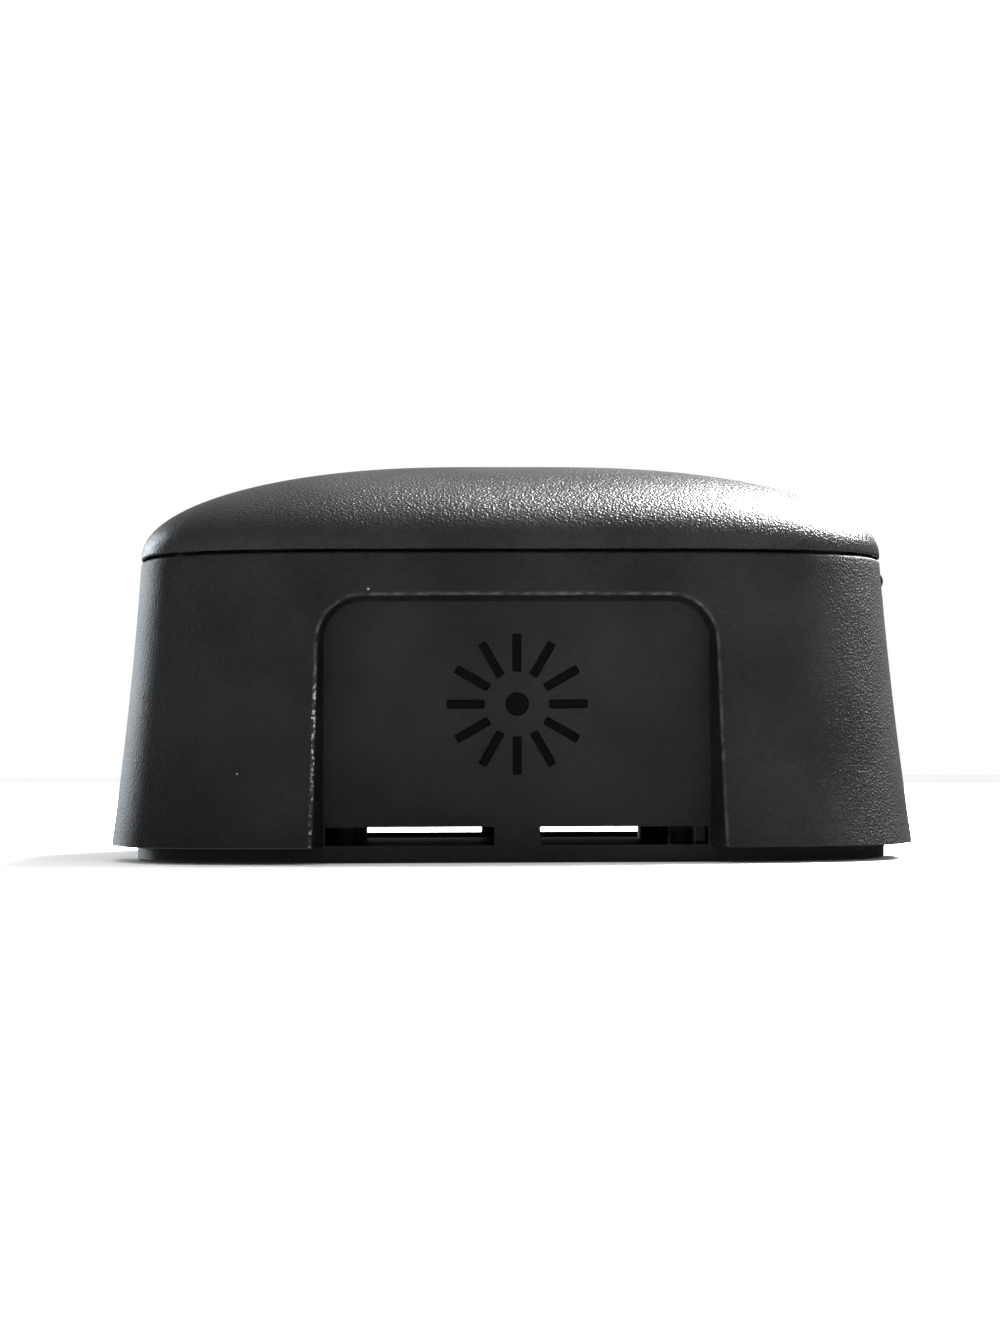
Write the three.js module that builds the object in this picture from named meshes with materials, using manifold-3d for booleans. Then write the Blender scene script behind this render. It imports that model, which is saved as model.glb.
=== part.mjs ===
// Bait station for rodents: a domed lid hinged on a flared shell, over a base that holds the bait.
// Millimetres, +Z up. X runs along the width and -Y is the front. The origin is the middle of the
// base's underside. The lid hinges along the right side and locks on the left.
import * as THREE from "three";
import { mergeVertices } from "three/addons/utils/BufferGeometryUtils.js";
import Module from "manifold-3d";

const wasm = await Module();
wasm.setup();

// ---------------------------------------------------------------- driving dimensions
// Overall
const WIDTH = 240; // across the skirt's lower edge
const DEPTH = 180;
const HEIGHT = 120.5; // floor to crown
const CORNER_POWER = 4.5; // the plan outline is a superellipse of this power
const PLAN_STEPS = 48; // facets round the plan outline
const CONTACT_GAP = 0.3; // between pieces that touch
const ROUND_STEPS = 18; // facets round a cylinder
const CURVE_STEPS = 6; // facets round an arch's corner
const WELD = 1e-4; // vertices nearer than this are one vertex
const OVERCUT = 5; // how far a cutter runs past what it cuts

// Shell
const SHELL_WALL = 2.5;
const SKIRT_LIFT = 4.6; // floor to the skirt's lower edge
const SHELL_TOP = 88.2;
const FLARE = 8.2; // spread of the skirt from its top to its lower edge
const FLARE_STRAIGHT = 0.66; // share of the spread that is straight, the rest being curved
const SHELL_STEPS = 5;
const RIM_WIDTH = 8; // flange turned in at the shell's top

// Base
const BASE_SIDE_INSET = 7; // from the skirt's lower edge
const FLOOR = 3;
const CURB_TOP = 12; // height of the low wall round the floor
const CURB_WALL = 2.2;

// Recess in the front and the back, closed by a panel that stands on the base
const RECESS_DEPTH = 14; // from the skirt's lower edge
const RECESS_WIDTH = 110.4; // at the panel
const RECESS_TOP = 74.4; // at the panel
const RECESS_CORNER = 11.5;
const RECESS_DRAFT = 0.23; // outward lean of the reveal, per mm of depth
const REVEAL_WALL = 2.2;
const PANEL_WALL = 3;
const PANEL_LAP = 5; // how far the panel runs behind the reveal
const PANEL_FOOT = 2; // beyond the baffle guides

// Strap slots through the foot of each panel
const SLOT_SILL = 4.8;
const SLOT_HEIGHT = 5.2;
const SLOT_POST = 13.1; // between the two slots
const SLOT_END = 0.5; // from the slot's end to the reveal

// Moulded rosette in the front panel
const ROSETTE_RADIUS = 20.2;
const ROSETTE_RAYS = 12;
const RAY_LENGTH = 11;
const RAY_WIDTH = 2.6;
const ROSETTE_HEIGHT = 45;
const ROSETTE_CUT = 0.8;
const DIMPLE_RADIUS = 3.4;

// Entrances in the ends
const ENTRANCE_WIDTH = 54;
const ENTRANCE_TOP = 52;
const ENTRANCE_CORNER = 20;
const ENTRANCE_FRAME = 2.2;

// Screws that hold the shell on the base
const SCREW_END_INSET = 34; // from the skirt's lower edge, at the ends
const SCREW_FACE_INSET = 33; // at the front and the back
const SCREW_RADIUS = 2;
const SCREW_LENGTH = 16;
const HEAD_RADIUS = 4;
const HEAD_HEIGHT = 2.6;
const HEAD_SINK = 0.8; // head below the underside
const DRIVE_WIDTH = 1;
const DRIVE_DEPTH = 1.4;
const PAD_WALL = 2.4; // round the screw head
const PAD_WEB = 4; // above the screw head
const BOSS_WALL = 2.4;
const BOSS_TOP = 40;
const RIB_WALL = 2.4;

// Anchor holes in the floor
const ANCHOR_RADIUS = 3;

// Bait tray and its posts
const CORRIDOR_WIDTH = 49.3; // between the curb and the baffle
const TRAY_SIDE_GAP = 5; // from the baffle to the tray
const TRAY_END_GAP = 14; // from the panel to the tray
const TRAY_WALL = 2;
const TRAY_FLOOR = 2.2;
const TRAY_RISE = 12; // floor of the station to the tray's underside
const TRAY_LIP = 9; // height of the tray's long sides
const TRAY_END = 36; // height of the tray's ends
const TRAY_DIVIDER = 2;
const POST_RADIUS = 4;
const POST_INSET = 6; // from the tray's edges

// Baffles
const BAFFLE_WALL = 2.2;
const BAFFLE_TOP = 78;
const DOORWAY_WIDTH = 48;
const DOORWAY_TOP = 54;
const DOORWAY_CORNER = 14;
const DOORWAY_JAMB = 10; // from the doorway to the baffle's end
const GUIDE_WALL = 2;
const GUIDE_REACH = 4;

// Bait rods and blocks
const ROD_RADIUS = 2.4;
const ROD_SPACING = 48;
const ROD_OVERHANG = 5; // past the tray's ends
const ROD_DROP = 6; // from the top of the tray's ends to the rod
const BLOCK_SIZE = 28;
const BLOCK_GAP = 4;
const BLOCK_RIDGES = 8;
const BLOCK_GROOVE = 2.2;
const BLOCK_BORE = 3.2;

// Lid
const LID_WALL = 2.5;
const SEAM_GAP = 0.8;
const LID_BAND = 1; // upright edge under the dome
const DOME_STEPS = 7;
const LID_RIB = 2; // wall of the rib that fits inside the shell's rim
const RIB_FIT = 0.6;
const RIB_STOP = 70; // the rib stops this far short of the hinge side

// Hinge
const HINGE_SETBACK = 34.5; // from the shell's top outline, at each end of the hinge
const HINGE_INSET = 4; // axis inside the shell's top outline
const HINGE_DROP = 6; // axis below the shell's top
const KNUCKLES = 7;
const KNUCKLE_RADIUS = 3;
const KNUCKLE_GAP = 0.6;
const PIN_RADIUS = 1.4;
const PIN_RECESS = 1; // pin's ends inside the end knuckles
const NOTCH_BELOW = 4.5; // notch's floor below the axis
const NOTCH_END_GAP = 1.5;
const SHELF_WALL = 2.5;

// Lock
const LOCK_INSET = 21.5; // axis inside the shell's top outline
const POCKET_RADIUS = 9;
const POCKET_WALL = 2;
const POCKET_DEPTH = 5; // on its shallow side
const BARREL_RADIUS = 5.7;
const FLANGE_RADIUS = 7.5;
const FLANGE_HEIGHT = 1.6;
const PLUG_RADIUS = 4;
const KEYWAY_WIDTH = 1.4;
const KEYWAY_LENGTH = 5.6;
const KEYWAY_DEPTH = 5;
const NUT_RADIUS = 8.4;
const NUT_HEIGHT = 3;
const NUT_SIDES = 6;
const NUT_BELOW = 1; // barrel below the nut
const CAM_WALL = 2;
const CAM_REACH = 17;
const CAM_HALF_WIDTH = 4.5;
const CAM_PLAY = 0.7; // under the shell's rim
const CAM_SCREW_RADIUS = 1.6;
const CAM_SCREW_DEPTH = 6;
const CAM_HEAD_RADIUS = 3.2;
const CAM_HEAD_HEIGHT = 2;

// ---------------------------------------------------------------- derived places
const topHalfWidth = WIDTH / 2 - FLARE;
const topHalfDepth = DEPTH / 2 - FLARE;
const baseHalfWidth = WIDTH / 2 - BASE_SIDE_INSET;
const panelFace = DEPTH / 2 - RECESS_DEPTH;
const panelBack = panelFace - PANEL_WALL;
const baffleX = baseHalfWidth - CURB_WALL - CORRIDOR_WIDTH;
const guideX = BAFFLE_WALL / 2 + CONTACT_GAP;
const panelHalfWidth = Math.max(
  RECESS_WIDTH / 2 + PANEL_LAP,
  baffleX + guideX + GUIDE_WALL + PANEL_FOOT,
);
const baffleReach = Math.min(panelBack, curbDepthAt(baffleX + BAFFLE_WALL / 2)) - 2 * CONTACT_GAP;
const trayHalfWidth = baffleX - BAFFLE_WALL / 2 - TRAY_SIDE_GAP;
const trayHalfDepth = panelBack - TRAY_END_GAP;
const trayBottom = TRAY_RISE + CONTACT_GAP;
const trayEndTop = trayBottom + TRAY_END;
const rodHeight = trayEndTop - ROD_DROP;
const screwX = WIDTH / 2 - SCREW_END_INSET;
const screwY = DEPTH / 2 - SCREW_FACE_INSET;
const lidBottom = SHELL_TOP + SEAM_GAP;
const domeBottom = lidBottom + LID_BAND;
const domeRise = HEIGHT - domeBottom;
const rimBottom = SHELL_TOP - SHELL_WALL;
const hingeLength = 2 * (topHalfDepth - HINGE_SETBACK);
const hingeX = topHalfWidth - HINGE_INSET;
const hingeZ = SHELL_TOP - HINGE_DROP;
const lockX = -(topHalfWidth - LOCK_INSET);

// Half depth of the curb's inner face at x.
function curbDepthAt(x) {
  const share = 1 - (x / (baseHalfWidth - CURB_WALL)) ** CORNER_POWER;
  return (panelFace - CURB_WALL) * share ** (1 / CORNER_POWER);
}

// ---------------------------------------------------------------- solids
// A closed geometry as a solid that can be joined and cut.
function solidOf(geometry) {
  const bare = geometry.clone();
  bare.deleteAttribute("normal");
  bare.deleteAttribute("uv");
  const merged = mergeVertices(bare, WELD);
  const vertProperties = merged.getAttribute("position").array;
  const triVerts = new Uint32Array(merged.index.array);
  return new wasm.Manifold(new wasm.Mesh({ numProp: 3, vertProperties, triVerts }));
}

function geometryOf(solid) {
  const { vertProperties, triVerts } = solid.getMesh();
  const geometry = new THREE.BufferGeometry();
  geometry.setAttribute("position", new THREE.BufferAttribute(vertProperties, 3));
  geometry.setIndex(new THREE.BufferAttribute(triVerts, 1));
  geometry.computeVertexNormals();
  return geometry;
}

const join = (...solids) => solids.reduce((all, next) => all.add(next));
const cut = (solid, ...cutters) => cutters.reduce((left, next) => left.subtract(next), solid);

function block([x0, x1], [y0, y1], [z0, z1]) {
  const geometry = new THREE.BoxGeometry(x1 - x0, y1 - y0, z1 - z0);
  geometry.translate((x0 + x1) / 2, (y0 + y1) / 2, (z0 + z1) / 2);
  return solidOf(geometry);
}

// An upright cylinder.
function post(x, y, [z0, z1], radius, sides = ROUND_STEPS) {
  const geometry = new THREE.CylinderGeometry(radius, radius, z1 - z0, sides);
  geometry.rotateX(Math.PI / 2);
  geometry.translate(x, y, (z0 + z1) / 2);
  return solidOf(geometry);
}

// A cylinder that lies along Y.
function bar(x, z, [y0, y1], radius) {
  const geometry = new THREE.CylinderGeometry(radius, radius, y1 - y0, ROUND_STEPS);
  geometry.translate(x, (y0 + y1) / 2, z);
  return solidOf(geometry);
}

// A turned piece with its axis upright at x, y. The profile of [radius, z] runs up the outside.
function turned(x, y, profile) {
  const points = profile.map(([radius, z]) => new THREE.Vector2(radius, z));
  const geometry = new THREE.LatheGeometry(points, ROUND_STEPS);
  geometry.rotateX(Math.PI / 2);
  geometry.translate(x, y, 0);
  return solidOf(geometry);
}

// A solid whose level sections are superellipses. Each profile point gives the section's half
// width and half depth at its height. The profile runs up the outside.
function planSolid(profile) {
  const points = profile.map(({ x, z }) => new THREE.Vector2(x, z));
  const geometry = new THREE.LatheGeometry(points, PLAN_STEPS);
  const position = geometry.getAttribute("position");
  const bend = (value) => Math.sign(value) * Math.abs(value) ** (2 / CORNER_POWER);
  for (let i = 0; i < position.count; i++) {
    const { x, y, z } = profile[i % profile.length];
    const step = Math.floor(i / profile.length) % PLAN_STEPS;
    const turn = (2 * Math.PI * step) / PLAN_STEPS;
    position.setXYZ(i, x * bend(roundOff(Math.cos(turn))), y * bend(roundOff(Math.sin(turn))), z);
  }
  return solidOf(geometry);
}

// Cleans the rounding error that a root would magnify.
function roundOff(value) {
  return Math.round(value * 1e9) / 1e9;
}

function extruded(shape, depth) {
  return new THREE.ExtrudeGeometry(shape, { depth, bevelEnabled: false, curveSegments: CURVE_STEPS });
}

// An arch with rounded top corners, from bottom to top.
function archShape(halfWidth, bottom, top, corner) {
  const shape = new THREE.Shape();
  shape.moveTo(-halfWidth, bottom);
  shape.lineTo(halfWidth, bottom);
  shape.lineTo(halfWidth, top - corner);
  shape.absarc(halfWidth - corner, top - corner, corner, 0, Math.PI / 2);
  shape.lineTo(-halfWidth + corner, top);
  shape.absarc(-halfWidth + corner, top - corner, corner, Math.PI / 2, Math.PI);
  shape.closePath();
  return shape;
}

// An arch extruded along Y from y0 to y1, growing by draft for each mm that it is further out.
function archPrism({ halfWidth, bottom, top, corner, from, to, draft = 0 }) {
  const shape = archShape(halfWidth, bottom, top, corner);
  const geometry = extruded(shape, to - from);
  const position = geometry.getAttribute("position");
  for (let i = 0; i < position.count; i++) {
    const grow = draft * position.getZ(i);
    position.setX(i, position.getX(i) * (1 + grow / halfWidth));
    position.setY(i, bottom + (position.getY(i) - bottom) * (1 + grow / (top - bottom)));
  }
  geometry.rotateX(Math.PI / 2);
  geometry.translate(0, -from, 0);
  return solidOf(geometry);
}

// ---------------------------------------------------------------- outlines of the shell
// The skirt's outer outline at height z, brought in by inset.
function skirtAt(z, inset = 0) {
  const drop = (SHELL_TOP - z) / (SHELL_TOP - SKIRT_LIFT);
  const spread = FLARE * (FLARE_STRAIGHT * drop + (1 - FLARE_STRAIGHT) * drop * drop);
  return { x: topHalfWidth + spread - inset, y: topHalfDepth + spread - inset, z };
}

// The skirt's outline at even heights from its lower edge to the height given.
function skirtLine(top, inset) {
  const line = [];
  for (let i = 0; i <= SHELL_STEPS; i++) {
    line.push(skirtAt(SKIRT_LIFT + ((top - SKIRT_LIFT) * i) / SHELL_STEPS, inset));
  }
  return line;
}

// The whole space inside the middle of the shell's wall. Trims what is joined to the wall.
function skirtSpace() {
  const side = skirtLine(SHELL_TOP, SHELL_WALL / 2);
  const lowPole = { x: 0, y: 0, z: SKIRT_LIFT };
  const highPole = { x: 0, y: 0, z: SHELL_TOP };
  return planSolid([lowPole, ...side, highPole]);
}

// The recess's space, with a wall's margin round it, at the front.
function recessSpace(margin, bottom) {
  return archPrism({
    halfWidth: RECESS_WIDTH / 2 + margin,
    bottom,
    top: RECESS_TOP + margin,
    corner: RECESS_CORNER + margin,
    from: panelFace + CONTACT_GAP,
    to: DEPTH / 2 + OVERCUT,
    draft: RECESS_DRAFT,
  });
}

function entranceSpace(margin, bottom, from) {
  const arch = archPrism({
    halfWidth: ENTRANCE_WIDTH / 2 + margin,
    bottom,
    top: ENTRANCE_TOP + margin,
    corner: ENTRANCE_CORNER + margin,
    from,
    to: WIDTH / 2 + OVERCUT,
  });
  return arch.rotate([0, 0, 90]);
}

const atBothFaces = (solid) => join(solid, solid.rotate([0, 0, 180]));
const atFourCorners = (make) => join(make(1, 1), make(-1, 1), make(-1, -1), make(1, -1));

// ---------------------------------------------------------------- outer shell
function shellWall() {
  const outside = skirtLine(SHELL_TOP, 0);
  const inside = skirtLine(rimBottom, SHELL_WALL).reverse();
  const rim = [skirtAt(SHELL_TOP, RIM_WIDTH), { ...skirtAt(SHELL_TOP, RIM_WIDTH), z: rimBottom }];
  return planSolid([...outside, ...rim, ...inside, outside[0]]);
}

// The boss that a base screw bites in, with a rib out to the shell's corner.
function screwBoss(sideX, sideY) {
  const bottom = FLOOR + PAD_WEB + HEAD_SINK + CONTACT_GAP;
  const boss = post(0, 0, [bottom, BOSS_TOP], SCREW_RADIUS + BOSS_WALL);
  const rib = block([0, WIDTH / 2], [-RIB_WALL / 2, RIB_WALL / 2], [CURB_TOP + CONTACT_GAP, BOSS_TOP]);
  const corner = Math.atan2(sideY, sideX) * (180 / Math.PI);
  return join(boss, rib.rotate([0, 0, corner])).translate([sideX * screwX, sideY * screwY, 0]);
}

function screwBore(sideX, sideY) {
  const top = HEAD_SINK + HEAD_HEIGHT + SCREW_LENGTH + CONTACT_GAP;
  return post(sideX * screwX, sideY * screwY, [0, top], SCREW_RADIUS + CONTACT_GAP);
}

// The shelf under the hinge notch, and the shell's own knuckles on it.
function shellHinge() {
  const floor = hingeZ - NOTCH_BELOW;
  const half = hingeLength / 2 + NOTCH_END_GAP;
  const shelf = block([hingeX - KNUCKLE_RADIUS, WIDTH / 2], [-half, half], [floor - SHELF_WALL, floor]);
  return join(shelf.intersect(skirtSpace()), ...knuckles(0).map((span) => {
    const web = block([hingeX - PIN_RADIUS, hingeX + PIN_RADIUS], span, [floor - SHELF_WALL, hingeZ]);
    return join(web, bar(hingeX, hingeZ, span, KNUCKLE_RADIUS));
  }));
}

// The Y spans of every second knuckle, from the first (0) or from the second (1).
function knuckles(first) {
  const pitch = hingeLength / KNUCKLES;
  const spans = [];
  for (let i = first; i < KNUCKLES; i += 2) {
    const start = -hingeLength / 2 + i * pitch;
    spans.push([start + KNUCKLE_GAP / 2, start + pitch - KNUCKLE_GAP / 2]);
  }
  return spans;
}

function hingeNotch() {
  const half = hingeLength / 2 + NOTCH_END_GAP;
  const inner = topHalfWidth - RIM_WIDTH - OVERCUT;
  return block([inner, WIDTH / 2 + OVERCUT], [-half, half], [hingeZ - NOTCH_BELOW, SHELL_TOP + OVERCUT]);
}

function pinBore() {
  const reach = hingeLength / 2 + OVERCUT;
  return bar(hingeX, hingeZ, [-reach, reach], PIN_RADIUS + CONTACT_GAP);
}

function outerShell() {
  const openings = [
    atBothFaces(recessSpace(0, -OVERCUT)),
    atBothFaces(entranceSpace(0, -OVERCUT, topHalfWidth - SHELL_WALL - OVERCUT)),
  ];
  const reveals = atBothFaces(recessSpace(REVEAL_WALL, SKIRT_LIFT));
  const frames = atBothFaces(entranceSpace(ENTRANCE_FRAME, SKIRT_LIFT, baseHalfWidth + CONTACT_GAP));
  const fittings = join(reveals, frames, atFourCorners(screwBoss)).intersect(skirtSpace());
  const walls = join(cut(shellWall(), hingeNotch()), fittings);
  return cut(join(cut(walls, ...openings), shellHinge()), atFourCorners(screwBore), pinBore());
}

// ---------------------------------------------------------------- base
function baseDish() {
  const at = (inset, z) => ({ x: baseHalfWidth - inset, y: panelFace - inset, z });
  return planSolid([
    { x: 0, y: 0, z: 0 },
    at(0, 0),
    at(0, CURB_TOP),
    at(CURB_WALL, CURB_TOP),
    at(CURB_WALL, FLOOR),
    { x: 0, y: 0, z: FLOOR },
  ]);
}

// The upright panel that closes the recess, with the guides that hold the baffles' ends.
function facePanel() {
  const plate = archPrism({
    halfWidth: panelHalfWidth,
    bottom: 0,
    top: RECESS_TOP + PANEL_LAP,
    corner: RECESS_CORNER + PANEL_LAP,
    from: panelBack,
    to: panelFace,
  });
  const slotOuter = RECESS_WIDTH / 2 - SLOT_END;
  const slots = [-1, 1].map((side) => {
    const ends = [(side * SLOT_POST) / 2, side * slotOuter].sort((a, b) => a - b);
    const across = [-panelFace - OVERCUT, -panelBack + OVERCUT];
    return block(ends, across, [SLOT_SILL, SLOT_SILL + SLOT_HEIGHT]);
  });
  return { plate, slots: join(...slots) };
}

function baffleGuides() {
  const guides = [];
  for (const side of [-1, 1]) {
    for (const edge of [-1, 1]) {
      const inner = side * baffleX + edge * guideX;
      const span = [inner, inner + edge * GUIDE_WALL].sort((a, b) => a - b);
      const reach = [-panelBack - PANEL_WALL / 2, -panelBack + GUIDE_REACH];
      guides.push(block(span, reach, [FLOOR / 2, RECESS_TOP - RECESS_CORNER]));
    }
  }
  return join(...guides);
}

// Twelve short rays round a dimple, pressed in the front panel.
function rosette() {
  const depth = [-panelFace - OVERCUT, -panelFace + ROSETTE_CUT];
  const cuts = [bar(0, 0, depth, DIMPLE_RADIUS)];
  for (let i = 0; i < ROSETTE_RAYS; i++) {
    const ray = block([ROSETTE_RADIUS - RAY_LENGTH, ROSETTE_RADIUS], depth, [-RAY_WIDTH / 2, RAY_WIDTH / 2]);
    cuts.push(ray.rotate([0, (360 * i) / ROSETTE_RAYS, 0]));
  }
  return join(...cuts).translate([0, 0, ROSETTE_HEIGHT]);
}

function screwPad(sideX, sideY) {
  const top = FLOOR + PAD_WEB + HEAD_SINK;
  return post(sideX * screwX, sideY * screwY, [FLOOR / 2, top], HEAD_RADIUS + PAD_WALL);
}

function headBore(sideX, sideY) {
  const seat = HEAD_SINK + HEAD_HEIGHT + CONTACT_GAP;
  const head = post(sideX * screwX, sideY * screwY, [-OVERCUT, seat], HEAD_RADIUS + CONTACT_GAP);
  return join(head, screwBore(sideX, sideY));
}

function trayPost(sideX, sideY) {
  const x = sideX * (trayHalfWidth - POST_INSET);
  const y = sideY * (trayHalfDepth - POST_INSET);
  return post(x, y, [FLOOR / 2, TRAY_RISE], POST_RADIUS);
}

function base() {
  const panel = facePanel();
  const threshold = block(
    [-WIDTH / 2, WIDTH / 2],
    [-ENTRANCE_WIDTH / 2, ENTRANCE_WIDTH / 2],
    [FLOOR, CURB_TOP + OVERCUT],
  );
  const anchorX = (baffleX + baseHalfWidth) / 2;
  const anchors = [-1, 1].map((side) => post(side * anchorX, 0, [-OVERCUT, FLOOR + OVERCUT], ANCHOR_RADIUS));
  const walls = join(cut(baseDish(), threshold), atBothFaces(join(panel.plate, baffleGuides())));
  const uprights = join(atFourCorners(screwPad), atFourCorners(trayPost));
  const slots = atBothFaces(panel.slots);
  return cut(join(walls, uprights), slots, rosette(), atFourCorners(headBore), ...anchors);
}

// ---------------------------------------------------------------- base screws
function baseScrew() {
  const seat = HEAD_SINK + HEAD_HEIGHT;
  const screw = turned(0, 0, [
    [0, HEAD_SINK],
    [HEAD_RADIUS, HEAD_SINK],
    [HEAD_RADIUS, seat],
    [SCREW_RADIUS, seat],
    [SCREW_RADIUS, seat + SCREW_LENGTH - SCREW_RADIUS],
    [0, seat + SCREW_LENGTH],
  ]);
  return cut(screw, ...driveCross(HEAD_SINK, HEAD_RADIUS));
}

// The two crossed slots of a screw's drive, cut upwards from z.
function driveCross(z, headRadius) {
  const reach = headRadius / 2;
  const depth = [z - OVERCUT, z + DRIVE_DEPTH];
  const half = DRIVE_WIDTH / 2;
  return [block([-reach, reach], [-half, half], depth), block([-half, half], [-reach, reach], depth)];
}

// ---------------------------------------------------------------- baffles
// A baffle stands across the station, with its doorway at one end of it.
function baffle(side) {
  const half = baffleReach;
  const thickness = [side * baffleX - BAFFLE_WALL / 2, side * baffleX + BAFFLE_WALL / 2];
  const plate = block(thickness, [-half, half], [FLOOR + CONTACT_GAP, BAFFLE_TOP]);
  const doorway = archPrism({
    halfWidth: DOORWAY_WIDTH / 2,
    bottom: -OVERCUT,
    top: DOORWAY_TOP,
    corner: DOORWAY_CORNER,
    from: -baffleX - OVERCUT,
    to: baffleX + OVERCUT,
  }).rotate([0, 0, 90]);
  const doorwayY = half - DOORWAY_JAMB - DOORWAY_WIDTH / 2;
  return cut(plate, doorway.translate([0, -side * doorwayY, 0]));
}

// ---------------------------------------------------------------- bait tray
function baitTray() {
  const inside = TRAY_WALL;
  const floorTop = trayBottom + TRAY_FLOOR;
  const body = block(
    [-trayHalfWidth, trayHalfWidth],
    [-trayHalfDepth, trayHalfDepth],
    [trayBottom, trayBottom + TRAY_END],
  );
  const lowSides = block(
    [-trayHalfWidth - OVERCUT, trayHalfWidth + OVERCUT],
    [-trayHalfDepth + inside, trayHalfDepth - inside],
    [trayBottom + TRAY_LIP, trayEndTop + OVERCUT],
  );
  const well = block(
    [-trayHalfWidth + inside, trayHalfWidth - inside],
    [-trayHalfDepth + inside, trayHalfDepth - inside],
    [floorTop, trayEndTop],
  );
  const divider = block(
    [-TRAY_DIVIDER / 2, TRAY_DIVIDER / 2],
    [-trayHalfDepth, trayHalfDepth],
    [trayBottom, trayBottom + TRAY_LIP],
  );
  return cut(join(cut(body, lowSides, well), divider), ...[-1, 1].map(rodNotch));
}

// The notch that a rod drops into, through both ends of the tray.
function rodNotch(side) {
  const x = (side * ROD_SPACING) / 2;
  const radius = ROD_RADIUS + CONTACT_GAP;
  const span = [-trayHalfDepth - OVERCUT, trayHalfDepth + OVERCUT];
  const mouth = block([x - radius, x + radius], span, [rodHeight, trayEndTop + OVERCUT]);
  return join(mouth, bar(x, rodHeight, span, radius));
}

// ---------------------------------------------------------------- bait rods and blocks
function baitRod(side) {
  const reach = trayHalfDepth + ROD_OVERHANG;
  return bar((side * ROD_SPACING) / 2, rodHeight, [-reach, reach], ROD_RADIUS);
}

// A pressed block with ridges round it, threaded on a rod.
function baitBlock(side, end) {
  const length = (2 * (trayHalfDepth - TRAY_WALL) - 3 * BLOCK_GAP) / 2;
  const outline = [];
  const flats = BLOCK_RIDGES * 2;
  const flat = (2 * Math.PI) / flats;
  for (let i = 0; i < flats; i++) {
    const radius = BLOCK_SIZE / 2 - (i % 2) * BLOCK_GROOVE;
    for (const turn of [i * flat + flat / 4, i * flat + (3 * flat) / 4]) {
      outline.push(new THREE.Vector2(radius * Math.cos(turn), radius * Math.sin(turn)));
    }
  }
  const geometry = extruded(new THREE.Shape(outline), length);
  geometry.rotateX(Math.PI / 2);
  const middle = end * (length + BLOCK_GAP) / 2;
  geometry.translate((side * ROD_SPACING) / 2, middle + length / 2, rodHeight);
  const span = [middle - length / 2 - OVERCUT, middle + length / 2 + OVERCUT];
  return cut(solidOf(geometry), bar((side * ROD_SPACING) / 2, rodHeight, span, BLOCK_BORE));
}

// ---------------------------------------------------------------- lid
// The dome's surface at a rise from its edge (0) to its crown (a quarter turn), brought in by inset.
function domeAt(turn, inset) {
  const share = roundOff(Math.cos(turn));
  const x = share * (topHalfWidth - inset);
  const y = share * (topHalfDepth - inset);
  return { x, y, z: domeBottom + (domeRise - inset) * Math.sin(turn) };
}

function domeLine(inset) {
  const line = [];
  for (let i = 0; i <= DOME_STEPS; i++) {
    line.push(domeAt((Math.PI / 2) * (i / DOME_STEPS), inset));
  }
  return line;
}

function lidDome() {
  const inside = domeLine(LID_WALL).reverse();
  const edge = [{ ...domeAt(0, LID_WALL), z: lidBottom }, { ...domeAt(0, 0), z: lidBottom }];
  return planSolid([...inside, ...edge, ...domeLine(0)]);
}

// Everything under the middle of the dome's wall. Trims what is joined to the dome.
function domeSpace() {
  const bottom = hingeZ - KNUCKLE_RADIUS;
  const low = [{ x: 0, y: 0, z: bottom }, { ...domeAt(0, LID_WALL / 2), z: bottom }];
  return planSolid([...low, ...domeLine(LID_WALL / 2)]);
}

// The rib under the lid that fits inside the shell's rim, on the lock's side.
function lidRib() {
  const outer = RIM_WIDTH + RIB_FIT;
  const at = (inset, z) => ({ x: topHalfWidth - inset, y: topHalfDepth - inset, z });
  const low = at(outer, rimBottom);
  const inner = outer + LID_RIB;
  const ring = planSolid([low, at(outer, HEIGHT), at(inner, HEIGHT), at(inner, rimBottom), low]);
  const side = block([-WIDTH, topHalfWidth - RIB_STOP], [-DEPTH, DEPTH], [0, HEIGHT]);
  return ring.intersect(side);
}

// The height of the dome's outer face at x, on the middle line.
function domeHeight(x) {
  return domeBottom + domeRise * Math.sqrt(1 - (x / topHalfWidth) ** 2);
}

const camTop = rimBottom - CAM_PLAY;
const barrelBottom = camTop + 2 * CONTACT_GAP;
const pocketFloor = Math.max(
  domeHeight(lockX - POCKET_RADIUS) - POCKET_DEPTH,
  barrelBottom + NUT_BELOW + NUT_HEIGHT + CONTACT_GAP + LID_WALL,
);

function lidHinge() {
  return join(...knuckles(1).map((span) => {
    const arm = block([hingeX - KNUCKLE_RADIUS, hingeX], span, [hingeZ, domeBottom + LID_WALL]);
    return join(arm, bar(hingeX, hingeZ, span, KNUCKLE_RADIUS));
  }));
}

// A bridge from the arms out to the lid's edge, inside the dome.
function hingeBridge() {
  const half = hingeLength / 2 - hingeLength / KNUCKLES;
  return block([hingeX - KNUCKLE_RADIUS, topHalfWidth], [-half, half], [lidBottom, domeBottom + LID_WALL]);
}

function lid() {
  const cup = post(lockX, 0, [pocketFloor - LID_WALL, HEIGHT], POCKET_RADIUS + POCKET_WALL);
  const fittings = join(lidRib(), cup, hingeBridge()).intersect(domeSpace());
  const pocket = post(lockX, 0, [pocketFloor, HEIGHT + OVERCUT], POCKET_RADIUS);
  const hole = post(lockX, 0, [rimBottom, HEIGHT], BARREL_RADIUS + CONTACT_GAP);
  return cut(join(lidDome(), fittings, lidHinge()), pocket, hole, pinBore());
}

function hingePin() {
  const reach = hingeLength / 2 - PIN_RECESS;
  return bar(hingeX, hingeZ, [-reach, reach], PIN_RADIUS);
}

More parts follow.
